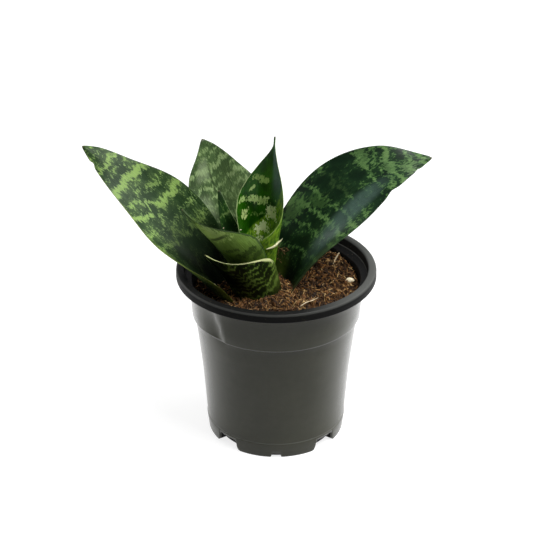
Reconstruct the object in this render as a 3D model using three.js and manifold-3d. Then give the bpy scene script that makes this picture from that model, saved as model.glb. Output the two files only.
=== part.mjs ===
// A young bird's-nest snake plant in its round nursery pot.
// Millimetres, +Z up. The origin is the middle of the pot's flat underside.
// Seen from the front, which is the -Y side, +X is to the right.

import * as THREE from 'three';
import { mergeVertices } from 'three/addons/utils/BufferGeometryUtils.js';
import Module from 'manifold-3d';

const wasm = await Module();
wasm.setup();

// ---- driving dimensions --------------------------------------------------------------------

const CLEARANCE = 0.3; // between pieces that touch on the real plant

// Pot: radius and height of each corner of the wall's section.
const RIM_RADIUS = 54.5;
const RIM_HEIGHT = 100.3;
const SKIRT_HEIGHT = 5.3; // how far the rolled rim hangs down outside
const RIM_LAND = 4.5; // width of the rim's top
const WALL = 1.3;
const COLLAR_TOP_RADIUS = 47.3;
const COLLAR_RADIUS = 46.3; // at the collar's lower edge
const COLLAR_BASE_HEIGHT = 72.8;
const BODY_TOP_RADIUS = 44.5;
const FOOT_RADIUS = 39;
const FOOT_HEIGHT = 8.6;
const BASE_RADIUS = 38;
const FLOOR = 1.8;
const POT_SEGMENTS = 60;

// Four gaps in the foot, each with a drain hole above it, and a thumb nick in each foot.
// A gap flares at the bottom by GAP_FLARE on each side.
const GAP_WIDTH = 13;
const GAP_FLARE = 2.4;
const GAP_HEIGHT = 6.6;
const GAP_REACH = 33; // from the axis to the gap's inner end
const DRAIN_RADIUS = 2;
const DRAIN_REACH = 35.2;
const DRAIN_CUT = 14; // length of the cut that opens it, through the gap's roof
const NICK_WIDTH = 5;
const NICK_FLARE = 1;
const NICK_HEIGHT = 2.2;
const NICK_REACH = 35.8;
const FEET = 4;

// The dent in the collar, left of the front. Angles run left from the front.
const DENT_DEPTH = 2.4;
const DENT_EDGE = 39.5; // where the crease meets the collar's lower edge
const DENT_LEAN = 0.5; // degrees that the crease moves left per millimetre of height
const DENT_FADE = 66; // where the dent has run out on the left

// Potting mix.
const SOIL_HEIGHT = 85.5;
const SOIL_LUMPS = 0.66; // half the height of its lumps
const SOIL_MOUND = 1.4; // how much it is heaped at the plant
const SOIL_BANK = 6; // how much it is banked up against the back of the pot
const SOIL_RINGS = 10;
const PERLITE = { x: 40.7, y: 4.8, radius: 2.3, stretch: [1.15, 0.9, 0.75] };

// Crown: the leaf bases stand round this axis as shells inside one another.
const CROWN = { x: -8, y: 2 };
const CROWN_SOCKET = { radius: 15, mouth: 21, height: 60 };
const RHIZOME = { radius: 11, bottom: 50, top: 71 };
const ROOTS = { count: 7, start: 7, reach: 20, spread: 5, thick: 1.9, thin: 0.8, end: 22 };
const ROOT_RINGS = 7;
const ROOT_SIDES = 6;

// Leaf blades. A blade is a curved channel that follows a spine from its foot to its tip.
// bearing: direction that the leaf grows in, in degrees from +X.
// spine: the four control points of its midrib.
// roll: how far the blade is turned about its midrib at the foot, the middle and the tip.
// channel: radius of the channel's section at the foot, the middle and the tip.
// left, right: half-widths at STATIONS, seen from above and looking out along the leaf.
// thick: thickness of the midrib at the foot and the tip.
const STATIONS = [0, 0.2, 0.4, 0.6, 0.8, 0.93, 1];
const MARGIN_THICKNESS = 0.8;
const TIP_HALF_WIDTH = 0.5;

const LEAVES = {
  left_leaf: {
    bearing: 172,
    spine: [[-23, 1, 72], [-36, 1, 96], [-63, 12, 134], [-104.5, 20, 162]],
    roll: [0, -34, -42],
    channel: [15, 34, 120],
    left: [17, 27, 23.5, 16.5, 10.2, 4.5, TIP_HALF_WIDTH],
    right: [14, 18, 22, 20.5, 11, 5.5, TIP_HALF_WIDTH],
    thick: [2, 1.5],
    color: 0x4d7a3a,
  },
  right_leaf: {
    bearing: 20,
    spine: [[3.4, 5, 72], [10, 6, 106], [33, 15, 150], [84, 19, 155.5]],
    roll: [0, 36, 39],
    channel: [12.4, 28, 100],
    left: [13, 19, 22, 21.5, 14.5, 5, TIP_HALF_WIDTH],
    right: [11, 17, 22.5, 20, 12.5, 5.5, TIP_HALF_WIDTH],
    thick: [2, 1.5],
    color: 0x3b6b36,
  },
  back_leaf: {
    bearing: 112,
    spine: [[-14, 18.6, 72], [-18, 27, 102], [-32, 40, 134], [-41, 44, 155.5]],
    roll: [0, 5, 5],
    channel: [17.7, 40, 60],
    left: [12, 14, 20, 23.5, 18.5, 6.5, TIP_HALF_WIDTH],
    right: [13, 18, 22, 22, 13.2, 6, TIP_HALF_WIDTH],
    thick: [2, 1.4],
    color: 0x5d8457,
  },
  centre_leaf: {
    bearing: 60,
    spine: [[-5.8, 5.9, 72], [-5, 9, 100], [-3.5, 12, 135], [-0.8, 6, 174]],
    roll: [0, 0, 0],
    channel: [4.5, 11.3, 16],
    left: [10, 17.5, 23, 21, 8.5, 0.9, TIP_HALF_WIDTH],
    right: [11, 23, 31, 15, 4.5, 0.9, TIP_HALF_WIDTH],
    thick: [1.8, 1.2],
    color: 0x3f7d22,
  },
  young_leaf: {
    bearing: 120,
    spine: [[-14, 8, 72], [-18.5, 9, 98], [-26, 10, 118], [-31, 9, 141]],
    roll: [0, 0, 0],
    channel: [9, 12, 16],
    left: [4, 6.5, 8, 7, 4, 1.8, TIP_HALF_WIDTH],
    right: [2.5, 4.5, 6, 5.5, 3, 1.5, TIP_HALF_WIDTH],
    thick: [1.6, 1.1],
    color: 0x2f5f2c,
  },
  front_left_leaf: {
    bearing: 205,
    spine: [[-16.8, -2.1, 72], [-18, -6, 106], [-35, -15, 122], [-50, -12, 140]],
    roll: [0, 0, 0],
    channel: [9.8, 13, 20],
    left: [12, 20.5, 24, 25.5, 14, 4, TIP_HALF_WIDTH],
    right: [6, 8, 10, 10, 6, 3, TIP_HALF_WIDTH],
    thick: [1.8, 1.3],
    color: 0x7f9a4f,
  },
  front_low_leaf: {
    bearing: 228,
    spine: [[-16.3, -7.2, 72], [-19, -11, 88], [-24, -16, 101], [-38, -20, 117]],
    roll: [0, 0, 0],
    channel: [12.4, 14.6, 20],
    left: [20, 29, 31.2, 26.5, 11, 4, TIP_HALF_WIDTH],
    right: [9, 9, 8, 7, 5, 2.5, TIP_HALF_WIDTH],
    thick: [1.9, 1.3],
    color: 0x6f8f4a,
  },
};

// Rows along a blade and columns across it.
const LEAF_ROWS = 22;
const LEAF_COLUMNS = 8;

// ---- small helpers -------------------------------------------------------------------------

const RADIANS = Math.PI / 180;

const smooth = (low, high, x) => THREE.MathUtils.smoothstep(x, low, high);

// A value that is `a` at 0, `b` at a half and `c` at 1.
const bend = (a, b, c, t) => a * (1 - t) * (1 - 2 * t) + b * 4 * t * (1 - t) + c * t * (2 * t - 1);

// A smooth curve through values given at uneven stations.
function through(stations, values, t) {
  const last = stations.length - 1;
  const slope = stations.map((_, i) => {
    const a = Math.max(i - 1, 0);
    const b = Math.min(i + 1, last);
    return (values[b] - values[a]) / (stations[b] - stations[a]);
  });
  let i = 0;
  while (i < last - 1 && t >= stations[i + 1]) i += 1;
  const step = stations[i + 1] - stations[i];
  const s = (t - stations[i]) / step;
  const s2 = s * s;
  const s3 = s2 * s;
  return (2 * s3 - 3 * s2 + 1) * values[i] + (s3 - 2 * s2 + s) * step * slope[i]
    + (3 * s2 - 2 * s3) * values[i + 1] + (s3 - s2) * step * slope[i + 1];
}

// A closed geometry from shared corner points and triangles.
function geometryOf(points, triangles) {
  const geometry = new THREE.BufferGeometry();
  const flat = points.flatMap((p) => [p.x, p.y, p.z]);
  geometry.setAttribute('position', new THREE.Float32BufferAttribute(flat, 3));
  geometry.setIndex(triangles);
  return geometry;
}

// Solid for joining and cutting, from a closed geometry.
function solid(geometry) {
  const bare = geometry.clone();
  bare.deleteAttribute('normal');
  bare.deleteAttribute('uv');
  const merged = mergeVertices(bare, 1e-4);
  return new wasm.Manifold(new wasm.Mesh({
    numProp: 3,
    vertProperties: new Float32Array(merged.attributes.position.array),
    triVerts: new Uint32Array(merged.index.array),
  }));
}

function geometryFrom(body) {
  const mesh = body.getMesh();
  const geometry = new THREE.BufferGeometry();
  geometry.setAttribute('position', new THREE.BufferAttribute(mesh.vertProperties, 3));
  geometry.setIndex(new THREE.BufferAttribute(mesh.triVerts, 1));
  return geometry;
}

function named(name, geometry, color, roughness) {
  geometry.computeVertexNormals();
  const material = new THREE.MeshStandardMaterial({ color, roughness, metalness: 0 });
  const mesh = new THREE.Mesh(geometry, material);
  mesh.name = name;
  return mesh;
}

// A lathe turned about +Z. The profile runs from the axis, outside first, back to the axis.
function turned(profile, segments) {
  const points = profile.map(([r, z]) => new THREE.Vector2(r, z));
  return new THREE.LatheGeometry(points, segments).rotateX(Math.PI / 2);
}

// ---- pot -----------------------------------------------------------------------------------

// How far the wall is pushed in at this place.
function dent(x, y, z) {
  const left = Math.atan2(-x, -y) / RADIANS;
  const crease = DENT_EDGE + DENT_LEAN * (z - COLLAR_BASE_HEIGHT);
  const across = smooth(crease - 4, crease + 1, left) * (1 - smooth(crease + 1, DENT_FADE, left));
  const along = smooth(COLLAR_BASE_HEIGHT - 2, COLLAR_BASE_HEIGHT + 2, z) * (1 - smooth(82, 92, z));
  return DENT_DEPTH * across * along;
}

function dented(geometry) {
  const place = geometry.attributes.position;
  for (let i = 0; i < place.count; i += 1) {
    const [x, y, z] = [place.getX(i), place.getY(i), place.getZ(i)];
    const radius = Math.hypot(x, y);
    if (radius > 1) {
      const scale = 1 - dent(x, y, z) / radius;
      place.setXY(i, x * scale, y * scale);
    }
  }
  return geometry;
}

const skirtBottom = RIM_HEIGHT - SKIRT_HEIGHT;
const POT_OUTSIDE = [
  [0, 0],
  [BASE_RADIUS, 0],
  [FOOT_RADIUS, FOOT_HEIGHT],
  [FOOT_RADIUS - 0.3, FOOT_HEIGHT + 0.5],
  [39.6, 22],
  [41, 40],
  [42.6, 54],
  [BODY_TOP_RADIUS - 0.2, 68],
  [BODY_TOP_RADIUS, COLLAR_BASE_HEIGHT - 1.2],
  [COLLAR_RADIUS, COLLAR_BASE_HEIGHT],
  [COLLAR_RADIUS + 0.4, 79],
  [COLLAR_RADIUS + 0.7, 86],
  [COLLAR_TOP_RADIUS, 92],
  [COLLAR_TOP_RADIUS + 3.2, 93.2],
  [COLLAR_TOP_RADIUS + 3.5, skirtBottom + 1.5],
  [RIM_RADIUS - 1.2, skirtBottom + 1.5],
  [RIM_RADIUS - 1, skirtBottom],
  [RIM_RADIUS + 0.1, skirtBottom],
  [RIM_RADIUS, RIM_HEIGHT - 1.4],
  [RIM_RADIUS - 0.5, RIM_HEIGHT - 0.4],
  [RIM_RADIUS - 1.4, RIM_HEIGHT],
  [0, RIM_HEIGHT],
];

// Radius of the pot's inner wall at a height.
const POT_INSIDE = [
  [0, FLOOR],
  [FOOT_RADIUS - WALL - 1.4, FLOOR],
  [FOOT_RADIUS - WALL, FOOT_HEIGHT],
  [39.6 - WALL, 22],
  [41 - WALL, 40],
  [42.6 - WALL, 54],
  [BODY_TOP_RADIUS - WALL, COLLAR_BASE_HEIGHT],
  [COLLAR_RADIUS + 0.4 - WALL, 79],
  [COLLAR_RADIUS + 0.7 - WALL, 86],
  [COLLAR_TOP_RADIUS - WALL, 93.4],
  [COLLAR_TOP_RADIUS + 2.4, 94.6],
  [RIM_RADIUS - RIM_LAND, RIM_HEIGHT - 0.7],
  [RIM_RADIUS - RIM_LAND + 0.9, RIM_HEIGHT + 0.2],
  [0, RIM_HEIGHT + 0.2],
];

function innerRadius(z) {
  const rows = POT_INSIDE.slice(1, -1);
  const i = Math.max(1, rows.findIndex((row) => row[1] >= z));
  const [[r0, z0], [r1, z1]] = [rows[i - 1], rows[i]];
  return THREE.MathUtils.clamp(r0 + ((z - z0) / (z1 - z0)) * (r1 - r0), 0, RIM_RADIUS);
}

// A block that lies along the radius at `angle`, for the gaps in the foot. It is `width` wide at
// its top and flares at the bottom.
function gapBlock(width, flare, height, from, to, angle) {
  const half = width / 2;
  const corner = 0.2 * height;
  const outline = new THREE.Shape();
  outline.moveTo(-half - flare, -2);
  outline.lineTo(half + flare, -2);
  outline.lineTo(half + flare, 0);
  outline.quadraticCurveTo(half + 0.2 * flare, 0.1 * height, half + 0.1 * flare, 0.4 * height);
  outline.lineTo(half - 0.3 * corner, height - corner);
  outline.quadraticCurveTo(half - 0.4 * corner, height, half - 1.2 * corner, height);
  outline.lineTo(-half + 1.2 * corner, height);
  outline.quadraticCurveTo(-half + 0.4 * corner, height, -half + 0.3 * corner, height - corner);
  outline.lineTo(-half - 0.1 * flare, 0.4 * height);
  outline.quadraticCurveTo(-half - 0.2 * flare, 0.1 * height, -half - flare, 0);
  const cut = { depth: to - from, bevelEnabled: false, curveSegments: 3 };
  const block = new THREE.ExtrudeGeometry(outline, cut);
  block.rotateX(Math.PI / 2).translate(0, to, 0).rotateZ(angle - Math.PI / 2);
  return solid(block);
}

function pot() {
  const whole = solid(dented(turned(POT_OUTSIDE, POT_SEGMENTS)));
  let body = whole.subtract(solid(dented(turned(POT_INSIDE, POT_SEGMENTS))));
  const gapAngles = Array.from({ length: FEET }, (_, i) => ((i + 0.5) / FEET) * 2 * Math.PI);
  const beyond = RIM_RADIUS;
  for (const angle of gapAngles) {
    const width = GAP_WIDTH + 2 * WALL;
    const roof = gapBlock(width, GAP_FLARE, GAP_HEIGHT + WALL, GAP_REACH - WALL, beyond, angle);
    body = body.add(roof.intersect(whole));
  }
  for (const angle of gapAngles) {
    const foot = angle + Math.PI / FEET;
    const gap = gapBlock(GAP_WIDTH, GAP_FLARE, GAP_HEIGHT, GAP_REACH, beyond, angle);
    const nick = gapBlock(NICK_WIDTH, NICK_FLARE, NICK_HEIGHT, NICK_REACH, beyond, foot);
    body = body.subtract(gap).subtract(nick);
    const drain = new THREE.CylinderGeometry(DRAIN_RADIUS, DRAIN_RADIUS, DRAIN_CUT, 12);
    drain.rotateX(Math.PI / 2);
    drain.translate(DRAIN_REACH * Math.cos(angle), DRAIN_REACH * Math.sin(angle), GAP_HEIGHT);
    body = body.subtract(solid(drain));
  }
  return geometryFrom(body);
}

// ---- leaves --------------------------------------------------------------------------------

// Midrib point, direction across the blade and direction out of its upper face.
function leafFrame(leaf, t) {
  const curve = new THREE.CubicBezierCurve3(...leaf.spine.map((p) => new THREE.Vector3(...p)));
  curve.arcLengthDivisions = 100;
  const along = curve.getTangentAt(t);
  const bearing = leaf.bearing * RADIANS;
  const side = new THREE.Vector3(-Math.sin(bearing), Math.cos(bearing), 0);
  const across = side.addScaledVector(along, -side.dot(along)).normalize();
  const up = new THREE.Vector3().crossVectors(along, across);
  const roll = bend(...leaf.roll, t) * RADIANS;
  return {
    middle: curve.getPointAt(t),
    across: across.clone().multiplyScalar(Math.cos(roll)).addScaledVector(up, Math.sin(roll)),
    up: up.clone().multiplyScalar(Math.cos(roll)).addScaledVector(across, -Math.sin(roll)),
  };
}

// Two faces of the blade, joined round the edge. `grow` thickens the whole blade for a socket.
function leafGeometry(leaf, grow = 0) {
  const points = [];
  for (let i = 0; i <= LEAF_ROWS; i += 1) {
    const t = i / LEAF_ROWS;
    const { middle, across, up } = leafFrame(leaf, t);
    const curvature = bend(...leaf.channel.map((r) => 1 / r), t);
    const midrib = THREE.MathUtils.lerp(leaf.thick[0], leaf.thick[1], t);
    const row = [];
    for (let j = 0; j <= LEAF_COLUMNS; j += 1) {
      const v = (2 * j) / LEAF_COLUMNS - 1;
      const half = through(STATIONS, v > 0 ? leaf.left : leaf.right, t) + grow;
      const turn = curvature * half * v;
      const thickness = THREE.MathUtils.lerp(midrib, MARGIN_THICKNESS, v * v) + 2 * grow;
      const place = middle.clone()
        .addScaledVector(across, Math.sin(turn) / curvature)
        .addScaledVector(up, (1 - Math.cos(turn)) / curvature);
      const out = across.clone()
        .multiplyScalar(-Math.sin(turn))
        .addScaledVector(up, Math.cos(turn));
      row.push([place, out, thickness]);
    }
    for (const side of [0.5, -0.5]) {
      for (const [place, out, thickness] of row) {
        points.push(place.clone().addScaledVector(out, side * thickness));
      }
    }
  }
  const columns = LEAF_COLUMNS + 1;
  const at = (i, side, j) => i * 2 * columns + side * columns + j;
  const triangles = [];
  const quad = (a, b, c, d) => triangles.push(a, b, c, a, c, d);
  const edge = LEAF_COLUMNS;
  const tip = LEAF_ROWS;
  for (let i = 0; i < tip; i += 1) {
    for (let j = 0; j < edge; j += 1) {
      quad(at(i, 0, j), at(i + 1, 0, j), at(i + 1, 0, j + 1), at(i, 0, j + 1));
      // Both faces are split along the same diagonal.
      triangles.push(at(i, 1, j), at(i + 1, 1, j + 1), at(i + 1, 1, j));
      triangles.push(at(i, 1, j), at(i, 1, j + 1), at(i + 1, 1, j + 1));
    }
    quad(at(i, 0, edge), at(i + 1, 0, edge), at(i + 1, 1, edge), at(i, 1, edge));
    quad(at(i, 0, 0), at(i, 1, 0), at(i + 1, 1, 0), at(i + 1, 0, 0));
  }
  for (let j = 0; j < edge; j += 1) {
    quad(at(0, 0, j), at(0, 0, j + 1), at(0, 1, j + 1), at(0, 1, j));
    quad(at(tip, 0, j), at(tip, 1, j), at(tip, 1, j + 1), at(tip, 0, j + 1));
  }
  return geometryOf(points, triangles);
}

// ---- rhizome and roots ---------------------------------------------------------------------

// A tapered root that leaves the rhizome's side and bends down.
function root(index, grow) {
  const angle = (index / ROOTS.count) * 2 * Math.PI + 0.4;
  const reach = ROOTS.reach + ROOTS.spread * Math.sin(index * 2.3);
  const at = (radius, turn, z) => new THREE.Vector3(
    radius * Math.cos(angle + turn),
    radius * Math.sin(angle + turn),
    z,
  );
  const bottom = ROOTS.end + 3 * (index % 3);
  const waist = (RHIZOME.bottom + RHIZOME.top) / 2;
  const curve = new THREE.QuadraticBezierCurve3(
    at(ROOTS.start, 0, waist),
    at(reach, 0, waist - 6),
    at(reach, 0.4, bottom),
  );
  const rings = ROOT_RINGS;
  const sides = ROOT_SIDES;
  const points = [];
  const triangles = [];
  for (let i = 0; i <= rings; i += 1) {
    const t = i / rings;
    const along = curve.getTangentAt(t);
    const flat = new THREE.Vector3(-Math.sin(angle), Math.cos(angle), 0);
    const across = flat.addScaledVector(along, -flat.dot(along)).normalize();
    const up = new THREE.Vector3().crossVectors(along, across);
    const radius = THREE.MathUtils.lerp(ROOTS.thick, ROOTS.thin, t) + grow;
    for (let k = 0; k < sides; k += 1) {
      const turn = (k / sides) * 2 * Math.PI;
      points.push(curve.getPointAt(t)
        .addScaledVector(across, radius * Math.cos(turn))
        .addScaledVector(up, radius * Math.sin(turn)));
    }
  }
  for (let i = 0; i < rings; i += 1) {
    for (let k = 0; k < sides; k += 1) {
      const [a, b] = [i * sides + k, i * sides + ((k + 1) % sides)];
      triangles.push(a, b, b + sides, a, b + sides, a + sides);
    }
  }
  for (let k = 1; k < sides - 1; k += 1) {
    triangles.push(0, k + 1, k);
    triangles.push(rings * sides, rings * sides + k, rings * sides + k + 1);
  }
  return solid(geometryOf(points, triangles).translate(CROWN.x, CROWN.y, 0));
}

function rhizome(grow = 0) {
  const { radius, bottom, top } = RHIZOME;
  const profile = [[0, bottom - grow]];
  for (const [r, t] of [[0.45, 0], [0.85, 0.18], [1, 0.5], [0.97, 0.8], [0.9, 1]]) {
    profile.push([radius * r + grow, bottom + (top - bottom) * t + (t - 0.5) * 2 * grow]);
  }
  profile.push([0, top + grow]);
  let body = solid(turned(profile, 20).translate(CROWN.x, CROWN.y, 0));
  for (let i = 0; i < ROOTS.count; i += 1) body = body.add(root(i, grow));
  return body;
}

// ---- potting mix ---------------------------------------------------------------------------

// Height of the mix, with its lumps.
function soilTop(x, y) {
  const toCrown = Math.hypot(x - CROWN.x, y - CROWN.y);
  const mound = SOIL_MOUND * (1 - smooth(12, 34, toCrown));
  const bank = SOIL_BANK * smooth(5, 42, y * 0.8 + x * 0.35);
  const large = Math.sin(x * 0.55 + 1.3 * Math.sin(y * 0.31)) * Math.cos(y * 0.6 + Math.sin(x * 0.4));
  const small = 0.6 * Math.sin(x * 1.1 + y * 0.9);
  return SOIL_HEIGHT + mound + bank + SOIL_LUMPS * (large + small);
}

// A grain of perlite, half sunk in the mix. `grow` thickens it for its seat.
function perlite(grow = 0) {
  const { x: middleX, y: middleY, radius, stretch } = PERLITE;
  const ball = new THREE.IcosahedronGeometry(radius, 1);
  ball.deleteAttribute('normal');
  ball.deleteAttribute('uv');
  const grain = mergeVertices(ball);
  const place = grain.attributes.position;
  for (let i = 0; i < place.count; i += 1) {
    const [x, y, z] = [place.getX(i), place.getY(i), place.getZ(i)];
    const lump = 1 + 0.14 * Math.sin(2.1 * x + 1) * Math.cos(1.7 * y + 2 * z);
    const [wide, deep, high] = stretch.map((s) => s * lump + grow / radius);
    place.setXYZ(i, x * wide, y * deep, z * high);
  }
  return grain.translate(middleX, middleY, soilTop(middleX, middleY) + 0.3 * radius);
}

function pottingMix(leaves) {
  const points = [new THREE.Vector3(0, 0, soilTop(0, 0))];
  const triangles = [];
  const wall = (angle, z) => {
    const radius = innerRadius(z) - CLEARANCE;
    const [x, y] = [radius * Math.cos(angle), radius * Math.sin(angle)];
    return radius - dent(x, y, z);
  };
  const sectors = POT_SEGMENTS; // so that the mix and the wall have their corners together
  const underside = GAP_HEIGHT + WALL + CLEARANCE; // just above the roofs of the gaps
  for (let i = 1; i <= SOIL_RINGS; i += 1) {
    for (let k = 0; k < sectors; k += 1) {
      const angle = (k / sectors) * 2 * Math.PI;
      const radius = wall(angle, SOIL_HEIGHT) * (i / SOIL_RINGS);
      const [x, y] = [radius * Math.cos(angle), radius * Math.sin(angle)];
      points.push(new THREE.Vector3(x, y, soilTop(x, y)));
    }
  }
  const sideHeights = [79, COLLAR_BASE_HEIGHT, 54, 40, 22, underside];
  for (const z of sideHeights) {
    for (let k = 0; k < sectors; k += 1) {
      const angle = (k / sectors) * 2 * Math.PI;
      const radius = wall(angle, z);
      points.push(new THREE.Vector3(radius * Math.cos(angle), radius * Math.sin(angle), z));
    }
  }
  const rings = SOIL_RINGS + sideHeights.length;
  const at = (ring, k) => 1 + (ring - 1) * sectors + (k % sectors);
  for (let k = 0; k < sectors; k += 1) triangles.push(0, at(1, k), at(1, k + 1));
  for (let i = 1; i < rings; i += 1) {
    for (let k = 0; k < sectors; k += 1) {
      const [a, b, c, d] = [at(i, k), at(i + 1, k), at(i + 1, k + 1), at(i, k + 1)];
      triangles.push(a, b, c, a, c, d);
    }
  }
  const centre = points.length;
  points.push(new THREE.Vector3(0, 0, underside));
  for (let k = 0; k < sectors; k += 1) triangles.push(centre, at(rings, k + 1), at(rings, k));
  let body = solid(geometryOf(points, triangles));
  const { radius, mouth, height } = CROWN_SOCKET;
  const socket = new THREE.CylinderGeometry(mouth, radius, height, 40).rotateX(Math.PI / 2);
  body = body.subtract(solid(socket.translate(CROWN.x, CROWN.y, RHIZOME.top + height / 2)));
  body = body.subtract(rhizome(CLEARANCE));
  body = body.subtract(solid(perlite(CLEARANCE)));
  for (const leaf of leaves) body = body.subtract(solid(leafGeometry(leaf, CLEARANCE)));
  // Crumbs that the leaves cut off from the rest are left out.
  const crumbs = body.decompose().sort((a, b) => b.volume() - a.volume());
  return geometryFrom(crumbs[0]);
}

// ---- the plant -----------------------------------------------------------------------------

const plant = new THREE.Group();
plant.add(named('pot', pot(), 0x4a4b46, 0.45));
plant.add(named('rhizome', geometryFrom(rhizome()), 0xb9a06a, 0.8));
for (const [name, leaf] of Object.entries(LEAVES)) {
  plant.add(named(name, leafGeometry(leaf), leaf.color, 0.45));
}
plant.add(named('potting_mix', pottingMix(Object.values(LEAVES)), 0x4a3020, 0.95));
plant.add(named('perlite_grain', perlite(), 0xe9e0cd, 0.9));

export default plant;
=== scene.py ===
import math
import random

import bmesh
import bpy
from mathutils import Matrix, Vector, noise


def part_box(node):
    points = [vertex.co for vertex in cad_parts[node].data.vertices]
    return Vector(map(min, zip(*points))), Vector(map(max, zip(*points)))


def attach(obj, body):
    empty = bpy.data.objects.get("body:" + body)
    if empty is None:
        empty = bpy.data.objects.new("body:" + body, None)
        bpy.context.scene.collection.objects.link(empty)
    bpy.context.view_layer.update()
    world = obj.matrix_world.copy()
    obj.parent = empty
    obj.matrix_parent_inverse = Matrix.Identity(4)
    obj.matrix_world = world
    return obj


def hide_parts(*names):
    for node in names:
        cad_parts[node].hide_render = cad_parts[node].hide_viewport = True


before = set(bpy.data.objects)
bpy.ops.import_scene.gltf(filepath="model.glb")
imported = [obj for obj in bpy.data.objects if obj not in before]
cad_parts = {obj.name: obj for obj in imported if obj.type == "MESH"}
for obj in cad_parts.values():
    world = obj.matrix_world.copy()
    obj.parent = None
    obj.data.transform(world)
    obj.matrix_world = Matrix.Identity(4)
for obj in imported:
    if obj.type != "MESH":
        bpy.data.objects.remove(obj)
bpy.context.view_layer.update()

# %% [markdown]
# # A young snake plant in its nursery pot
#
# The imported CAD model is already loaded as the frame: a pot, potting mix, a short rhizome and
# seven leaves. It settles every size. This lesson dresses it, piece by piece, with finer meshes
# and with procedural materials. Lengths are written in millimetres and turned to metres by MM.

MM = 0.001
SEAM = 0.01  # points nearer than this, in millimetres, are merged
print("nodes:", sorted(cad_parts))

# %% [markdown]
# ## Camera
#
# The photograph looks down at the plant from a little over 28 degrees, through a long lens, so
# the pot's sides hardly converge. The camera is aimed at a point just above the rim and pushed
# back along its own axis.

# %% Place the camera
CAMERA_TILT = math.radians(28.35)
CAMERA_DISTANCE = 900 * MM
CAMERA_TARGET = Vector((-5.3, 0, 99.2)) * MM
CAMERA_LENS = 111.7  # on a sensor 36 mm wide

lens_data = bpy.data.cameras.new("photo_camera")
lens_data.sensor_width = 36
lens_data.lens = CAMERA_LENS
camera = bpy.data.objects.new("photo_camera", lens_data)
back = Vector((0, -math.cos(CAMERA_TILT), math.sin(CAMERA_TILT)))
camera.location = CAMERA_TARGET + back * CAMERA_DISTANCE
camera.rotation_euler = (math.pi / 2 - CAMERA_TILT, 0, 0)
bpy.context.scene.collection.objects.link(camera)
bpy.context.scene.camera = camera
print("camera at", [round(c, 4) for c in camera.location])

# %% [markdown]
# ## Helpers for pieces
#
# Each piece starts as a bmesh, which operators shape. `add_piece` turns it into an object that
# rides on the plant's one body and, where it stands for a CAD node, hides that node.


# %% From bmesh to piece
def add_piece(name, bm, material, stands_for=()):
    """Makes a smooth-shaded piece of the object and frees the bmesh."""
    mesh = bpy.data.meshes.new(name)
    bm.to_mesh(mesh)
    bm.free()
    for face in mesh.polygons:
        face.use_smooth = True
    mesh.materials.append(material)
    piece = bpy.data.objects.new(name, mesh)
    bpy.context.scene.collection.objects.link(piece)
    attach(piece, "root")
    if stands_for:
        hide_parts(*stands_for)
    print(f"{name}: {len(mesh.polygons)} faces")


def close_and_orient(bm):
    """Merges seams, closes open ends and turns every face outwards."""
    bmesh.ops.remove_doubles(bm, verts=bm.verts, dist=SEAM * MM)
    rims = [e for e in bm.edges if e.is_boundary]
    if rims:
        bmesh.ops.holes_fill(bm, edges=rims, sides=0)
    bmesh.ops.recalc_face_normals(bm, faces=bm.faces)


def smoothstep(low, high, x):
    """0 below low, 1 above high and a smooth rise between them."""
    s = min(max((x - low) / (high - low), 0), 1)
    return s * s * (3 - 2 * s)


# %% [markdown]
# ## Helpers for materials
#
# Shader trees are easier to read when a node is one line. These few functions add a node, set
# its constants and link what is passed in as a socket. A socket knows its tree, so the tree is
# named only where no socket is given. Leaf colours are written as they look on a screen, as
# hexadecimal red, green and blue, and `paint` makes them linear.


# %% Inputs and arithmetic
def set_input(node, key, value):
    """Links a socket, or sets a constant."""
    if isinstance(value, bpy.types.NodeSocket):
        node.id_data.links.new(value, node.inputs[key])
    elif value is not None:
        node.inputs[key].default_value = value


def dress(node, **values):
    """Sets or links inputs by name, with _ for each space."""
    for title, value in values.items():
        set_input(node, title.replace("_", " "), value)


def calc(operation, *values):
    """A maths node's result."""
    tree = next(v.id_data for v in values if isinstance(v, bpy.types.NodeSocket))
    node = tree.nodes.new("ShaderNodeMath")
    node.operation = operation
    for key, value in enumerate(values):
        set_input(node, key, value)
    return node.outputs[0]


def times(a, b):
    """a * b."""
    return calc("MULTIPLY", a, b)


def muladd(a, b, c):
    """a * b + c."""
    return calc("MULTIPLY_ADD", a, b, c)


def centred(mark):
    """A mark that runs from 0 to 1, moved to run from -0.5 to 0.5."""
    return calc("SUBTRACT", mark, 0.5)


def sway(mark, amount, onto):
    """Adds a centred mark, scaled by the amount."""
    return muladd(centred(mark), amount, onto)


def remap(value, low, high, to_low=0.0, to_high=1.0):
    """A smooth step from low to high."""
    node = value.id_data.nodes.new("ShaderNodeMapRange")
    node.interpolation_type = "SMOOTHSTEP"
    for key, entry in enumerate((value, low, high, to_low, to_high)):
        set_input(node, key, entry)
    return node.outputs[0]


def fade(value, span):
    """A smooth step from 0 to 1 between two lengths in millimetres."""
    return remap(value, span[0] * MM, span[1] * MM)


def paint(code):
    """A screen colour, such as "80ff00", as linear values."""
    levels = [int(code[k:k + 2], 16) for k in (0, 2, 4)]
    return tuple((c / 255 / 12.92) if c < 11 else ((c / 255 + 0.055) / 1.055) ** 2.4
                 for c in levels)


# %% Colours, places and noise
def blend(factor, a, b):
    """Mixes two colours, given as sockets, as screen colours or as linear (r, g, b)."""
    node = factor.id_data.nodes.new("ShaderNodeMix")
    node.data_type = "RGBA"
    set_input(node, 0, factor)
    for key, entry in ((6, a), (7, b)):
        if isinstance(entry, str):
            entry = paint(entry)
        set_input(node, key, (*entry, 1) if isinstance(entry, tuple) else entry)
    return node.outputs[2]


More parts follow.
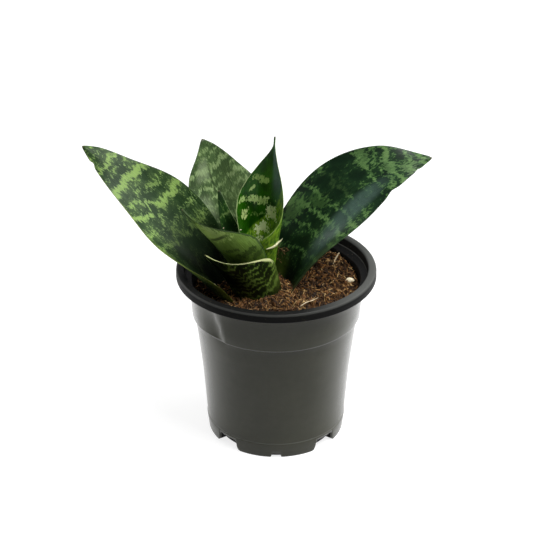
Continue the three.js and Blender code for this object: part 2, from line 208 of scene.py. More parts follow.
def stretch(vector, scale):
    """The place, with its own scale along each axis."""
    node = vector.id_data.nodes.new("ShaderNodeMapping")
    set_input(node, "Vector", vector)
    node.inputs["Scale"].default_value = scale
    return node.outputs[0]


def separate(vector):
    """The X, Y and Z of a place."""
    node = vector.id_data.nodes.new("ShaderNodeSeparateXYZ")
    set_input(node, 0, vector)
    return node.outputs


def object_place(tree):
    """The place in the object's own coordinates, in metres."""
    return tree.nodes.new("ShaderNodeTexCoord").outputs["Object"]


def uv_place(tree, name):
    """The place on one of the piece's UV maps."""
    node = tree.nodes.new("ShaderNodeUVMap")
    node.uv_map = name
    return node.outputs[0]


def cloud(vector, scale, detail=2.0, rough=0.5):
    """Noise from 0 to 1."""
    node = vector.id_data.nodes.new("ShaderNodeTexNoise")
    dress(node, Vector=vector, Scale=scale, Detail=detail, Roughness=rough)
    return node.outputs["Fac"]


# %% Materials, bumps and groups
def new_material(name):
    """An empty material with its Principled shader: (material, tree, shader)."""
    material = bpy.data.materials.new(name)
    material.use_nodes = True
    tree = material.node_tree
    return material, tree, tree.nodes["Principled BSDF"]


def bump(shader, height, distance, strength=1.0, under=None):
    """Bumps up to `distance` millimetres high, over those of another bump."""
    node = shader.id_data.nodes.new("ShaderNodeBump")
    dress(node, Distance=distance * MM, Strength=strength, Height=height, Normal=under)
    set_input(shader, "Normal", node.outputs[0])
    return node.outputs[0]


def new_group(name, inputs, outputs):
    """A shader node group with the named sockets: (group, inputs, outputs)."""
    group = bpy.data.node_groups.new(name, "ShaderNodeTree")
    for title, kind, default in inputs:
        socket = group.interface.new_socket(title, in_out="INPUT", socket_type=kind)
        if default is not None:
            socket.default_value = default
    for title, kind in outputs:
        group.interface.new_socket(title, in_out="OUTPUT", socket_type=kind)
    ends = [group.nodes.new(kind) for kind in ("NodeGroupInput", "NodeGroupOutput")]
    return group, ends[0].outputs, ends[1].inputs


def use_group(tree, group, **values):
    """The group's outputs, with these inputs."""
    node = tree.nodes.new("ShaderNodeGroup")
    node.node_tree = group
    dress(node, **values)
    return node.outputs


# %% [markdown]
# ## Leaf flecks
#
# A snake plant's light bands are not painted lines. They are many small flames that run along
# the leaf and end at ragged heights. The group makes that raggedness once for all leaves. It
# reads a place on the blade in millimetres: X across and Y along. `Shift` moves a band up and
# down in teeth of several sizes, `Flame` breaks it into streaks, `Fleck` peppers it with specks
# under a millimetre wide, `Patch` changes slowly over the blade, and `Vein` is the fine
# lengthwise ribbing that also shows in the gloss.

# %% The fleck group
SEEDS_APART = (17.0, 31.0, 1.0)  # millimetres that a seed of 1 moves the pattern by
WIDE_TOOTH = 11.0
SMALL_TOOTH = 9.0  # how far the teeth reach, in millimetres
flecks, given, result = new_group(
    "leaf_flecks",
    [("Place", "NodeSocketVector", None), ("Seed", "NodeSocketFloat", 0.0)],
    [(title, "NodeSocketFloat") for title in ("Shift", "Flame", "Patch", "Vein", "Fleck")],
)
move = flecks.nodes.new("ShaderNodeCombineXYZ")
for axis, apart in enumerate(SEEDS_APART):
    set_input(move, axis, times(given["Seed"], apart))
shifted = flecks.nodes.new("ShaderNodeVectorMath")
shifted.operation = "ADD"
set_input(shifted, 0, given["Place"])
set_input(shifted, 1, move.outputs[0])
place = shifted.outputs[0]

wide_teeth = cloud(stretch(place, (0.17, 0.03, 1)), 1, 1)
small_teeth = cloud(stretch(place, (0.7, 0.1, 1)), 1, 2, 0.6)
small_teeth = times(centred(small_teeth), SMALL_TOOTH)
flecks.links.new(sway(wide_teeth, WIDE_TOOTH, small_teeth), result["Shift"])

MARKS = [  # output, scale across and along, noise detail, noise roughness, contrast
    ("Flame", (0.85, 0.36, 1), 3, 0.6, (0.36, 0.64)),
    ("Patch", (0.16, 0.11, 1), 2, 0.5, (0.34, 0.66)),
    ("Vein", (2.2, 0.05, 1), 3, 0.7, (0.3, 0.7)),
    ("Fleck", (1.25, 0.7, 1), 2, 0.65, (0.38, 0.62)),
]
for title, scale, detail, rough, contrast in MARKS:
    tone = cloud(stretch(place, scale), 1, detail, rough)
    flecks.links.new(remap(tone, *contrast), result[title])
print("fleck group:", len(flecks.nodes), "nodes")

# %% [markdown]
# ## Leaf material
#
# One function makes each leaf's material from a short description: where its light bands lie
# along the blade, how ragged they are, and its greens. The bands are stops of a ramp over the
# place along the blade. Where the ramp and the flecks together are high the leaf is pale, where
# they are middling it has its middle green, and elsewhere the dark ground shows. Margins, the dry
# tip, blotches and soft washes of colour are masks over the same coordinates, so nothing depends
# on the camera. Some washes are painted light: near-black painted shade where the crown's shadow
# falls, and a bluish painted sheen.


# %% Bands and spots
def ramp(value, stops, ease="EASE"):
    """A curve through (place, level) stops."""
    node = value.id_data.nodes.new("ShaderNodeValToRGB")
    node.color_ramp.interpolation = ease
    knots = node.color_ramp.elements
    while len(knots) < len(stops):
        knots.new(0.5)
    for knot, (place, level) in zip(knots, sorted(stops)):
        knot.position = place
        knot.color = (level, level, level, 1)
    set_input(node, "Fac", value)
    return node.outputs["Color"]


def band_ramp(value, bands):
    """A hump at each (centre, half width, strength) along the blade."""
    stops = [(0.0, 0.0), (1.0, 0.0)]
    for centre, half, strength in bands:
        stops += [(centre - half, 0.0), (centre, strength), (min(centre + half, 0.999), 0.0)]
    return ramp(value, stops)


def soft_spot(along, across, length, width):
    """1 in the middle of an oval on the blade, 0 outside it."""
    masks = []
    for value, (middle, half) in ((along, length), (across, width)):
        away = calc("ABSOLUTE", calc("SUBTRACT", value, middle))
        masks.append(remap(away, half, half * 0.3))
    return times(*masks)


# %% Bands and greens
WANDER = 0.2  # how far along the blade a full swing moves a band
FAINT = 0.4  # how dark flecks and veins are on the dark ground


def banded_level(look, mark, share, across):
    """The place along the blade as its bands see it, and how pale it is there."""
    place = muladd(across, look["lean"], share[1])
    if "wander" in look:
        swing = centred(ramp(share[0], look["wander"], "CARDINAL"))
        reach = remap(share[1], *look["wander_fades"], 1.0, 0.0)
        place = muladd(times(swing, reach), WANDER, place)
    place = muladd(mark["Shift"], look["jag"] / look["length"], place)
    level = band_ramp(place, look["bands"])
    for title, key in (("Flame", "break"), ("Patch", "mottle"), ("Fleck", "pepper")):
        level = sway(mark[title], look[key], level)
    return place, level


def greens(look, mark, middling, pale):
    """Dark ground, middle green and pale green, put together by two masks."""
    ground = blend(mark["Patch"], look["dark"], look["green"])
    for title in ("Fleck", "Vein"):
        ground = blend(times(mark[title], FAINT), ground, look["dark"])
    middle = blend(times(mark["Patch"], 0.5), look["mid"], look["pale"])
    bright = blend(mark["Vein"], look["pale"], look["light"])
    return blend(pale, blend(middling, ground, middle), bright)


# %% Blotches, washes and margins
FOLD_EDGE = 0.02  # how soft the fold's edge is, as a share of the blade
FLAME_FRAY = 0.7
BLOTCH_EDGE = (0.46, 0.6)
BLOTCH_REACH = (0.06, 0.3)  # where an oval begins to show, and where it shows in full
MARGIN_WOBBLE = 0.02
DRY_FROM = (0.984, 0.996)
DRY_TIP = "4a4c2c"
# painted shade: the near-black where the crown's shadow falls on a leaf
PAINTED_SHADE = "060c05"
# painted sheen: a bluish reflection laid into the colour
PAINTED_SHEEN = "5c766c"


def add_blotches(look, mark, colour, place, along, across):
    """A yellower fold, and blotches with ragged edges."""
    if "fold" in look:
        edge, lean, tint = look["fold"]
        turned = muladd(across, lean, along)
        over = remap(turned, edge, edge - FOLD_EDGE)
        colour = blend(over, colour, blend(mark["Flame"], tint, look["mid"]))
    frayed = times(centred(mark["Flame"]), FLAME_FRAY)
    frayed = sway(mark["Fleck"], look["fray"], frayed)
    for tint, strength, length, width in look["blotches"]:
        spot = soft_spot(place, across, length, width)
        near = remap(spot, *BLOTCH_REACH, 0.0, strength)
        ragged = remap(calc("ADD", spot, frayed), *BLOTCH_EDGE)
        colour = blend(times(ragged, near), colour, tint)
    return colour


def add_washes(look, colour, along, across):
    """Painted shade on the sheath and in creases, a painted sheen, other patches: colour and
    shade.
    """
    shade = None
    for tint, strength, length, width in look["washes"]:
        spot = times(soft_spot(along, across, length, width), strength)
        colour = blend(spot, colour, tint)
        if tint == PAINTED_SHADE:
            shade = spot if shade is None else calc("MAXIMUM", shade, spot)
    return colour, shade


def add_margins(look, mark, colour, along, across):
    """A line down each margin, and the dry tip."""
    wobble = times(centred(mark["Flame"]), MARGIN_WOBBLE)
    for side, (tint, width, strength) in ((1, look["left_margin"]), (-1, look["right_margin"])):
        edge = muladd(across, side, wobble)
        rim = remap(edge, 1.0 - width, 1.0 - width * 0.7)
        if "margin_from" in look:
            begin = look["margin_from"]
            rim = times(rim, remap(along, begin, begin + 0.1))
        colour = blend(times(rim, strength), colour, tint)
    return blend(remap(along, *DRY_FROM), colour, DRY_TIP)


# %% The whole leaf material
VEIN_ROUGH, PALE_ROUGH, SHADE_ROUGH = 0.14, 0.06, 0.45  # roughness that each of them adds
RIB_HEIGHT, PATCH_HEIGHT = 0.22, 0.9  # millimetres


def leaf_material(name, look):
    """One leaf's material, from its entry in LOOKS."""
    material, tree, shader = new_material(name)
    share = separate(uv_place(tree, "share"))
    across = muladd(share[0], 2.0, -1.0)
    along = share[1]
    mark = use_group(tree, flecks, Place=uv_place(tree, "span"), Seed=look["seed"])
    place, level = banded_level(look, mark, share, across)
    middling, pale = (remap(level, look[key] - look["soft"], look[key] + look["soft"])
                      for key in ("mid_at", "pale_at"))
    colour = greens(look, mark, middling, pale)
    colour = add_blotches(look, mark, colour, place, along, across)
    colour, shade = add_washes(look, colour, along, across)
    colour = add_margins(look, mark, colour, along, across)

    rough = muladd(mark["Vein"], VEIN_ROUGH, look["rough"])
    rough = muladd(pale, PALE_ROUGH, rough)
    rough = muladd(shade, SHADE_ROUGH, rough)
    waxy = times(calc("SUBTRACT", 1.0, shade), look["coat"])
    dress(shader, Base_Color=colour, Roughness=rough, Specular_IOR_Level=0.03,
          Coat_Weight=waxy, Coat_Roughness=look["gloss"])
    ribs = bump(shader, mark["Vein"], RIB_HEIGHT)
    bump(shader, mark["Patch"], PATCH_HEIGHT, 0.5, ribs)
    return material


# %% [markdown]
# ## Blade shapes
#
# Every blade is a piece of a cone-like channel wrapped round a curved midrib. These values are
# the same as the part's own: the bearing, the midrib's four control points, the roll about the
# midrib, the channel's radius and the half widths. A cubic curve carries the midrib, and an arc
# across it carries the channel, so a leaf is found by two numbers: `t` along and `v` across.

# %% What the leaf dimensions share, in millimetres and degrees
STATIONS = [0, 0.2, 0.4, 0.6, 0.8, 0.93, 1]
TIP_HALF_WIDTH = 0.5
MARGIN_THICKNESS = 0.8
MIDRIB_STEPS = 400

LEAVES = {}

# %% The outer leaves
LEAVES["left_leaf"] = {
    "bearing": 172,
    "spine": [[-23, 1, 72], [-36, 1, 96], [-63, 12, 134], [-104.5, 20, 162]],
    "roll": [0, -34, -42],
    "channel": [15, 34, 120],
    "left": [17, 27, 23.5, 16.5, 10.2, 4.5, TIP_HALF_WIDTH],
    "right": [14, 18, 22, 20.5, 11, 5.5, TIP_HALF_WIDTH],
    "thick": [2, 1.5],
}
LEAVES["right_leaf"] = {
    "bearing": 20,
    "spine": [[3.4, 5, 72], [10, 6, 106], [33, 15, 150], [84, 19, 155.5]],
    "roll": [0, 36, 39],
    "channel": [12.4, 28, 100],
    "left": [13, 19, 22, 21.5, 14.5, 5, TIP_HALF_WIDTH],
    "right": [11, 17, 22.5, 20, 12.5, 5.5, TIP_HALF_WIDTH],
    "thick": [2, 1.5],
}
LEAVES["back_leaf"] = {
    "bearing": 112,
    "spine": [[-14, 18.6, 72], [-18, 27, 102], [-32, 40, 134], [-41, 44, 155.5]],
    "roll": [0, 5, 5],
    "channel": [17.7, 40, 60],
    "left": [12, 14, 20, 23.5, 18.5, 6.5, TIP_HALF_WIDTH],
    "right": [13, 18, 22, 22, 13.2, 6, TIP_HALF_WIDTH],
    "thick": [2, 1.4],
}

# %% The centre leaf, the young leaf and the two front leaves
LEAVES["centre_leaf"] = {
    "bearing": 60,
    "spine": [[-5.8, 5.9, 72], [-5, 9, 100], [-3.5, 12, 135], [-0.8, 6, 174]],
    "roll": [0, 0, 0],
    "channel": [4.5, 11.3, 16],
    "left": [10, 17.5, 23, 21, 8.5, 0.9, TIP_HALF_WIDTH],
    "right": [11, 23, 31, 15, 4.5, 0.9, TIP_HALF_WIDTH],
    "thick": [1.8, 1.2],
}
LEAVES["young_leaf"] = {
    "bearing": 120,
    "spine": [[-14, 8, 72], [-18.5, 9, 98], [-26, 10, 118], [-31, 9, 141]],
    "roll": [0, 0, 0],
    "channel": [9, 12, 16],
    "left": [4, 6.5, 8, 7, 4, 1.8, TIP_HALF_WIDTH],
    "right": [2.5, 4.5, 6, 5.5, 3, 1.5, TIP_HALF_WIDTH],
    "thick": [1.6, 1.1],
}
LEAVES["front_left_leaf"] = {
    "bearing": 205,
    "spine": [[-16.8, -2.1, 72], [-18, -6, 106], [-35, -15, 122], [-50, -12, 140]],
    "roll": [0, 0, 0],
    "channel": [9.8, 13, 20],
    "left": [12, 20.5, 24, 25.5, 14, 4, TIP_HALF_WIDTH],
    "right": [6, 8, 10, 10, 6, 3, TIP_HALF_WIDTH],
    "thick": [1.8, 1.3],
}
LEAVES["front_low_leaf"] = {
    "bearing": 228,
    "spine": [[-16.3, -7.2, 72], [-19, -11, 88], [-24, -16, 101], [-38, -20, 117]],
    "roll": [0, 0, 0],
    "channel": [12.4, 14.6, 20],
    "left": [20, 29, 31.2, 26.5, 11, 4, TIP_HALF_WIDTH],
    "right": [9, 9, 8, 7, 5, 2.5, TIP_HALF_WIDTH],
    "thick": [1.9, 1.3],
}


# %% Curves that the blades follow
def bend(a, b, c, t):
    """A value that is a at 0, b at a half and c at 1."""
    return a * (1 - t) * (1 - 2 * t) + b * 4 * t * (1 - t) + c * t * (2 * t - 1)


def through(values, t):
    """A smooth curve through values given at STATIONS."""
    last = len(STATIONS) - 1
    i = max(k for k in range(last) if t >= STATIONS[k])

    def slope(k):
        a, b = max(k - 1, 0), min(k + 1, last)
        return (values[b] - values[a]) / (STATIONS[b] - STATIONS[a])

    step = STATIONS[i + 1] - STATIONS[i]
    s = (t - STATIONS[i]) / step
    start = (2 * s**3 - 3 * s**2 + 1) * values[i] + (s**3 - 2 * s**2 + s) * step * slope(i)
    end = (3 * s**2 - 2 * s**3) * values[i + 1] + (s**3 - s**2) * step * slope(i + 1)
    return start + end


def midrib(spine):
    """Points, directions and lengths along a cubic curve."""
    p = [Vector(point) for point in spine]
    points, ways, lengths = [], [], [0.0]
    for k in range(MIDRIB_STEPS + 1):
        u = k / MIDRIB_STEPS
        w = 1 - u
        points.append(w**3 * p[0] + 3 * w * w * u * p[1] + 3 * w * u * u * p[2] + u**3 * p[3])
        way = 3 * w * w * (p[1] - p[0]) + 6 * w * u * (p[2] - p[1]) + 3 * u * u * (p[3] - p[2])
        ways.append(way.normalized())
        if k:
            lengths.append(lengths[-1] + (points[-1] - points[-2]).length)
    return points, ways, lengths


# %% A blade's surface
class Blade:
    """One leaf's surface: where it is, which way it faces and how thick it is."""

    def __init__(self, leaf):
        self.leaf = leaf
        self.points, self.ways, self.lengths = midrib(leaf["spine"])
        self.length = self.lengths[-1]
        self.rows = {}

    def row(self, t):
        """Midrib point and the directions across and out of the upper face."""
        key = round(t, 5)
        if key not in self.rows:
            goal = t * self.length
            k = next((n for n, s in enumerate(self.lengths) if s >= goal - 1e-9), MIDRIB_STEPS)
            before = max(k - 1, 0)
            room = self.lengths[k] - self.lengths[before]
            share = (goal - self.lengths[before]) / room if room else 0.0
            middle = self.points[before].lerp(self.points[k], share)
            way = self.ways[before].lerp(self.ways[k], share).normalized()
            bearing = math.radians(self.leaf["bearing"])
            side = Vector((-math.sin(bearing), math.cos(bearing), 0))
            across = (side - way * side.dot(way)).normalized()
            up = way.cross(across)
            turn = Matrix.Rotation(math.radians(bend(*self.leaf["roll"], t)), 3, way)
            self.rows[key] = (middle, turn @ across, turn @ up)
        return self.rows[key]

    def half(self, t, v):
        """Half width on the side of v."""
        return through(self.leaf["left" if v > 0 else "right"], t)

    def at(self, t, v, lift=0.0):
        """Place at height `lift` above the blade's middle surface, and the way out of it."""
        middle, across, up = self.row(t)
        bow = bend(*[1 / r for r in self.leaf["channel"]], t)
        turn = bow * self.half(t, v) * v
        out = up * math.cos(turn) - across * math.sin(turn)
        place = middle + across * (math.sin(turn) / bow) + up * ((1 - math.cos(turn)) / bow)
        return place + out * lift, out

    def thickness(self, t, v):
        """Thickest at the midrib, thinnest at the margins."""
        first, last = self.leaf["thick"]
        rib = first + (last - first) * t
        return rib + (MARGIN_THICKNESS - rib) * v * v


# %% [markdown]
# ## Growing a leaf
#
# A flat grid is the start: one way is the distance along the leaf, the other goes all the way
# round its section, over the upper face and back under the lower one. Moving the grid's points
# onto the blade rolls it up like a flattened tube, and merging the seam closes it. The margin
# comes out round, as it is on the real leaf. Two UV maps are stored while the grid is still
# flat: the share of the blade, and the same place in millimetres for the flecks.


# %% From a grid to a blade
LEAF_GRID = {"x_segments": 64, "y_segments": 110}  # steps round the section and along the blade
MARGIN_ROUNDNESS = 0.7  # 1 would bring the margins to an edge
TIP_FROM = 0.985  # the blade rounds off from here on


def grow_leaf(name):
    """Makes one leaf: its mesh, two UV maps and material."""
    blade = Blade(LEAVES[name])
    look = LOOKS[name]
    bm = bmesh.new()
    bmesh.ops.create_grid(bm, size=0.5, **LEAF_GRID)
    share = bm.loops.layers.uv.new("share")
    span = bm.loops.layers.uv.new("span")

    def flat_place(vert):
        t = min(max(vert.co.y + 0.5, 0), 1)
        angle = 2 * math.pi * (vert.co.x + 0.5)
        return t, -math.cos(angle), math.sin(angle)

    for face in bm.faces:
        for loop in face.loops:
            t, v, _ = flat_place(loop.vert)
            loop[share].uv = (v / 2 + 0.5, t)
            loop[span].uv = (blade.half(t, v) * v, blade.length * t)
    for vert in bm.verts:
        t, v, face_side = flat_place(vert)
        rounded = math.copysign(abs(face_side) ** MARGIN_ROUNDNESS, face_side)
        end = math.sqrt(max(0.0, 1 - max(0.0, (t - TIP_FROM) / (1 - TIP_FROM)) ** 2))
        wave = look["ripple"] * v * v * math.sin(look["waves"] * t * 2 * math.pi + look["seed"])
        narrow = 1.0
        for where, side, depth, reach in look["nicks"]:
            if side * v > 0:
                narrow -= depth * math.exp(-((t - where) / reach) ** 2)
        lift = 0.5 * blade.thickness(t, v) * rounded * end + wave
        place, _ = blade.at(t, v * end * narrow, lift)
        vert.co = place * MM
    close_and_orient(bm)
    material = leaf_material(name + "_skin", {**look, "length": blade.length})
    add_piece(name + "_blade", bm, material, [name])


# %% [markdown]
# ## How each leaf looks
#
# The three outer leaves are grey-green with ragged light bands. The centre leaf is fresher and
# glossier, with rows of cream flecks and a thin pale margin. The two short leaves at the front
# show their undersides: the upper one in broad smooth bands, the lower one in narrow ripples
# under a cream margin. A band is its centre along the blade, its half width and its strength.
# A blotch or a wash is a colour and its strength, then its centre and half width along the blade
# and across it. The near-black washes are painted shade and the bluish ones a painted sheen. A
# nick is its place, its side, its depth and its reach.

# %% What most leaves have in common
OUTER = {
    "slot": "leaf_outer", "lean": 0.0, "jag": 0.8, "break": 0.5, "mottle": 0.3, "pepper": 0.42,
    "soft": 0.03, "mid_at": 0.32, "pale_at": 0.62, "washes": [], "blotches": [], "nicks": [],
    "fray": 0.5,
    "left_margin": ("263c1e", 0.03, 0.7), "right_margin": ("263c1e", 0.03, 0.7),
    "rough": 0.42, "gloss": 0.32, "coat": 0.45, "ripple": 0.3, "waves": 2.5,
}
LOOKS = {}

# %% Looks of the outer leaves
LOOKS["left_leaf"] = {
    **OUTER, "seed": 3.1, "coat": 0.16,
    "nicks": [(0.915, 1, 0.22, 0.012)],
    "dark": "223a1b", "green": "465e36", "mid": "5e7846",
    "pale": "80a050", "light": "8caa5e",
    "wander": [(0.0, 0.5), (0.3, 0.62), (0.46, 0.6), (0.5, 0.36), (0.58, 0.36), (0.62, 0.62),
               (0.8, 0.55), (1.0, 0.4)],
    "wander_fades": (0.64, 0.7),
    "bands": [(0.97, 0.02, 0.3), (0.925, 0.02, 0.35), (0.868, 0.02, 0.85), (0.82, 0.014, 0.3),
              (0.755, 0.03, 1.05), (0.675, 0.02, 0.4), (0.6, 0.028, 0.9), (0.51, 0.03, 0.5),
              (0.43, 0.03, 0.5), (0.24, 0.05, 0.35)],
    # The first wash is painted shade over the lower middle of the blade; the near-black one is
    # painted shade at its base.
    "washes": [("162614", 0.7, (0.36, 0.24), (0.0, 0.9)),
               (PAINTED_SHADE, 0.97, (0.1, 0.42), (-0.3, 1.05)),
               ("7c9642", 0.6, (0.24, 0.3), (0.98, 0.16))],
    "left_margin": ("849242", 0.03, 0.75),
}
LOOKS["right_leaf"] = {
    **OUTER, "seed": 7.7, "lean": 0.02, "mottle": 0.4, "break": 0.4, "pepper": 0.4,
    "soft": 0.09,
    "nicks": [(0.925, -1, 0.12, 0.01), (0.78, -1, 0.09, 0.03)],
    "dark": "0a2210", "green": "203e20", "mid": "3c5e30",
    "pale": "587c44", "light": "6c8c52",
    "bands": [(0.955, 0.02, 0.6), (0.905, 0.018, 0.6), (0.83, 0.018, 0.8), (0.785, 0.02, 0.5),
              (0.735, 0.022, 0.6), (0.6, 0.02, 0.4), (0.525, 0.02, 0.6), (0.45, 0.026, 0.7),
              (0.375, 0.02, 0.5), (0.275, 0.02, 0.45)],
    "blotches": [("547642", 0.7, (0.74, 0.04), (0.68, 0.42)),
                 ("5c7e4a", 0.7, (0.825, 0.036), (0.1, 0.5)),
                 ("466834", 0.6, (0.43, 0.08), (0.76, 0.3)),
                 ("426432", 0.6, (0.5, 0.05), (0.4, 0.36)),
                 ("0e2612", 0.75, (0.6, 0.08), (0.4, 0.6)),
                 ("688654", 0.5, (0.9, 0.05), (-0.5, 0.7))],
    "washes": [(PAINTED_SHEEN, 0.5, (0.52, 0.34), (-0.42, 0.34)),
               (PAINTED_SHADE, 0.9, (0.05, 0.3), (0.1, 0.9)),
               ("4e6222", 0.55, (0.1, 0.16), (0.6, 0.5)),
               ("5c704a", 0.4, (0.26, 0.24), (-0.9, 0.3))],
}
LOOKS["back_leaf"] = {
    **OUTER, "seed": 12.4, "lean": 0.02, "ripple": 0.6, "soft": 0.08, "pepper": 0.3,
    "dark": "2e4220", "green": "486036", "mid": "5c7446",
    "pale": "748c56", "light": "889c6c",
    "bands": [(0.95, 0.02, 0.35), (0.9, 0.02, 0.4), (0.83, 0.036, 0.8), (0.77, 0.016, 0.4),
              (0.72, 0.024, 0.7), (0.66, 0.02, 0.5), (0.6, 0.02, 0.4), (0.5, 0.03, 0.6),
              (0.4, 0.03, 0.4)],
    "washes": [("344620", 0.5, (0.66, 0.22), (-0.35, 0.6)),
               ("889874", 0.5, (0.82, 0.09), (0.45, 0.34)),
               ("748262", 0.5, (0.6, 0.1), (0.62, 0.36)),
               # These two thin dark washes are painted shade in creases of the blade.
               ("223216", 0.7, (0.76, 0.12), (0.2, 0.035)),
               ("263618", 0.6, (0.7, 0.1), (-0.32, 0.03)),
               (PAINTED_SHADE, 0.9, (0.3, 0.3), (0.0, 1.4))],
}

# %% Looks of the centre leaf and the young one
LOOKS["centre_leaf"] = {
    **OUTER, "slot": "leaf_centre", "seed": 5.2, "jag": 0.6, "pepper": 0.3,
    "dark": "103a02", "green": "2c6808", "mid": "467420",
    "pale": "96b864", "light": "b0cc82", "mid_at": 0.55, "pale_at": 0.75,
    "bands": [(0.725, 0.024, 0.2), (0.61, 0.026, 0.25), (0.54, 0.02, 0.15)],
    "fold": (0.55, 0.2, "88b032"),
    "blotches": [("96b860", 0.8, (0.725, 0.032), (0.46, 0.5)),
                 ("b0ce7c", 0.95, (0.608, 0.03), (0.32, 0.44)),
                 ("b0ce7c", 0.95, (0.618, 0.024), (0.82, 0.16)),
                 ("b0ce7c", 0.9, (0.664, 0.016), (0.62, 0.1)),
                 ("c4da8a", 1.0, (0.54, 0.032), (0.66, 0.15)),
                 ("789c50", 0.6, (0.533, 0.012), (0.28, 0.36)),
                 ("ecf8be", 1.0, (0.545, 0.056), (-0.12, 0.28)),
                 ("ecf8be", 1.0, (0.448, 0.042), (0.16, 0.28)),
                 ("ecf8be", 1.0, (0.38, 0.034), (0.36, 0.3))],
    "fray": 0.7,
    "washes": [(PAINTED_SHEEN, 0.6, (0.8, 0.24), (-0.6, 0.62)),
               (PAINTED_SHADE, 0.8, (0.02, 0.2), (0.0, 1.4))],
    "left_margin": ("aabe82", 0.026, 0.9),
    "right_margin": ("96aa68", 0.03, 0.8),
    "rough": 0.34, "gloss": 0.22, "coat": 0.42, "ripple": 0.2,
}
LOOKS["young_leaf"] = {
    **OUTER, "slot": "leaf_centre", "seed": 8.8, "jag": 0.3,
    "dark": "14300e", "green": "284c1c", "mid": "46662e",
    "pale": "648046", "light": "789256",
    "bands": [(0.8, 0.03, 0.5), (0.6, 0.04, 0.6), (0.4, 0.04, 0.5)],
    "washes": [(PAINTED_SHADE, 0.9, (0.12, 0.4), (0.0, 1.4))],
    "right_margin": ("96aa74", 0.08, 0.9), "ripple": 0.0,
}

# %% Looks of the two front leaves
LOOKS["front_left_leaf"] = {
    **OUTER, "slot": "leaf_front", "seed": 2.6, "jag": 0.3, "break": 0.25, "mottle": 0.3,
    "pepper": 0.25, "soft": 0.14, "dark": "2c4212", "green": "4a6222",
    "mid": "5c7a2a", "pale": "648232", "light": "6e8c3e",
    "bands": [(0.66, 0.3, 2.6)],
    "blotches": [("1e300e", 0.7, (0.545, 0.03), (0.66, 0.3)),
                 ("1e300e", 0.7, (0.49, 0.03), (0.84, 0.24)),
                 ("223410", 0.6, (0.6, 0.02), (0.42, 0.26)),
                 ("a0be62", 0.8, (0.78, 0.12), (0.5, 0.62))],
    "washes": [(PAINTED_SHADE, 0.9, (0.1, 0.34), (0.2, 1.3)),
               (PAINTED_SHADE, 0.9, (0.45, 0.4), (-0.75, 0.7)),
               ("283e12", 0.85, (0.724, 0.017), (0.5, 0.5)),
               ("22340c", 0.55, (0.46, 0.16), (0.55, 0.8))],
    "left_margin": ("283e1a", 0.05, 0.85),
}
LOOKS["front_low_leaf"] = {
    **OUTER, "slot": "leaf_front", "seed": 9.3, "jag": 0.5, "break": 0.5, "mottle": 0.6,
    "pepper": 0.3, "soft": 0.12, "dark": "0a1403", "green": "1e2e0a",
    "mid": "425a1c", "pale": "5c742e", "light": "748a44",
    "bands": [(0.93, 0.04, 0.6), (0.84, 0.03, 0.6), (0.76, 0.024, 0.7), (0.69, 0.02, 0.6),
              (0.63, 0.02, 0.8), (0.575, 0.018, 0.6), (0.51, 0.024, 0.8), (0.455, 0.018, 0.6),
              (0.4, 0.024, 0.8), (0.31, 0.036, 0.8)],
    "washes": [("647a2e", 0.2, (0.32, 0.16), (0.88, 0.36)),
               ("162608", 0.5, (0.24, 0.16), (0.1, 1.0)),
               (PAINTED_SHADE, 0.98, (0.7, 0.42), (-0.1, 0.66)),
               (PAINTED_SHADE, 0.9, (0.96, 0.22), (0.3, 0.66))],
    "left_margin": ("ced496", 0.07, 1.0), "margin_from": 0.46,
}

# %% Grow the leaves
for leaf_name in LEAVES:
    grow_leaf(leaf_name)

# %% [markdown]
# ## Pot
#
# A nursery pot is moulded from thin dark plastic. Its section is drawn once, outside up and
# inside down, and spun round the axis. Corners are bevelled while they are still whole rings.
# The foot has four gaps and four thumb nicks, so the spin's steps are first moved together at
# their sides: then lifting the points under each one gives crisp walls. The dent in the collar
# is pressed in by the same formula as the part's own.

# %% The pot's section
RIM_RADIUS = 54.5
RIM_HEIGHT = 100.3
SKIRT_BOTTOM = 95
COLLAR_BASE = 72.8
WALL = 1.3
FLOOR = 1.8
SOIL_HEIGHT = 85.5
BASE_RADIUS = 38

POT_SECTION = [
    (0, 0), (20, 0), (32.9, 0), (33.05, 0), (33.2, 0), (34.2, 0), (35.2, 0), (35.75, 0),
    (35.9, 0), (36.9, 0), (BASE_RADIUS, 0), (38.2, 2), (38.5, 4.5), (39, 8.6), (38.7, 9.1),
    (39.6, 22), (41, 40), (42.6, 54), (43.4, 61), (44.3, 68), (44.5, 71.6), (46.3, COLLAR_BASE),
    (46.7, 79), (47, 86), (47.3, 92), (50.5, 93.2), (50.8, 96.5), (53.3, 96.5),
    (53.5, SKIRT_BOTTOM), (54.6, SKIRT_BOTTOM), (RIM_RADIUS, 98.9), (54, 99.9),
    (53.1, RIM_HEIGHT), (50.7, RIM_HEIGHT), (50, 99.6), (49.7, 94.6), (46, 93.4), (45.7, 86),
    (45.4, 79), (43.2, COLLAR_BASE), (41.3, 54), (39.7, 40), (38.3, 22), (37.7, 8.6),
    (36.9, 4.7), (36.3, FLOOR), (35.2, FLOOR), (34.2, FLOOR), (33.2, FLOOR), (31.75, FLOOR),
    (31.6, FLOOR), (20, FLOOR), (0, FLOOR),
]

# %% Sizes of the gaps, nicks, drain holes and dent
GAP = {"half": 6.5, "flare": 2.4, "height": 6.6, "reach": 33}
NICK = {"half": 2.5, "flare": 1.0, "height": 2.2, "reach": 35.8}
DRAIN_REACH = 35.2
DRAIN_RADIUS = 2
DENT_DEPTH = 2.4
FOOT_TOP = 9
SPIN_STEPS = 240
GAP_STEPS = [0, 1.3, 2.6, 3.9, 5.0, 5.7, 6.2, 6.45, 6.55, 6.75, 7.1, 7.8, 8.8, 8.95]
NICK_STEPS = [3.5, 3.4, 2.8, 2.55, 2.45, 2.3, 1.8, 0.9, 0]


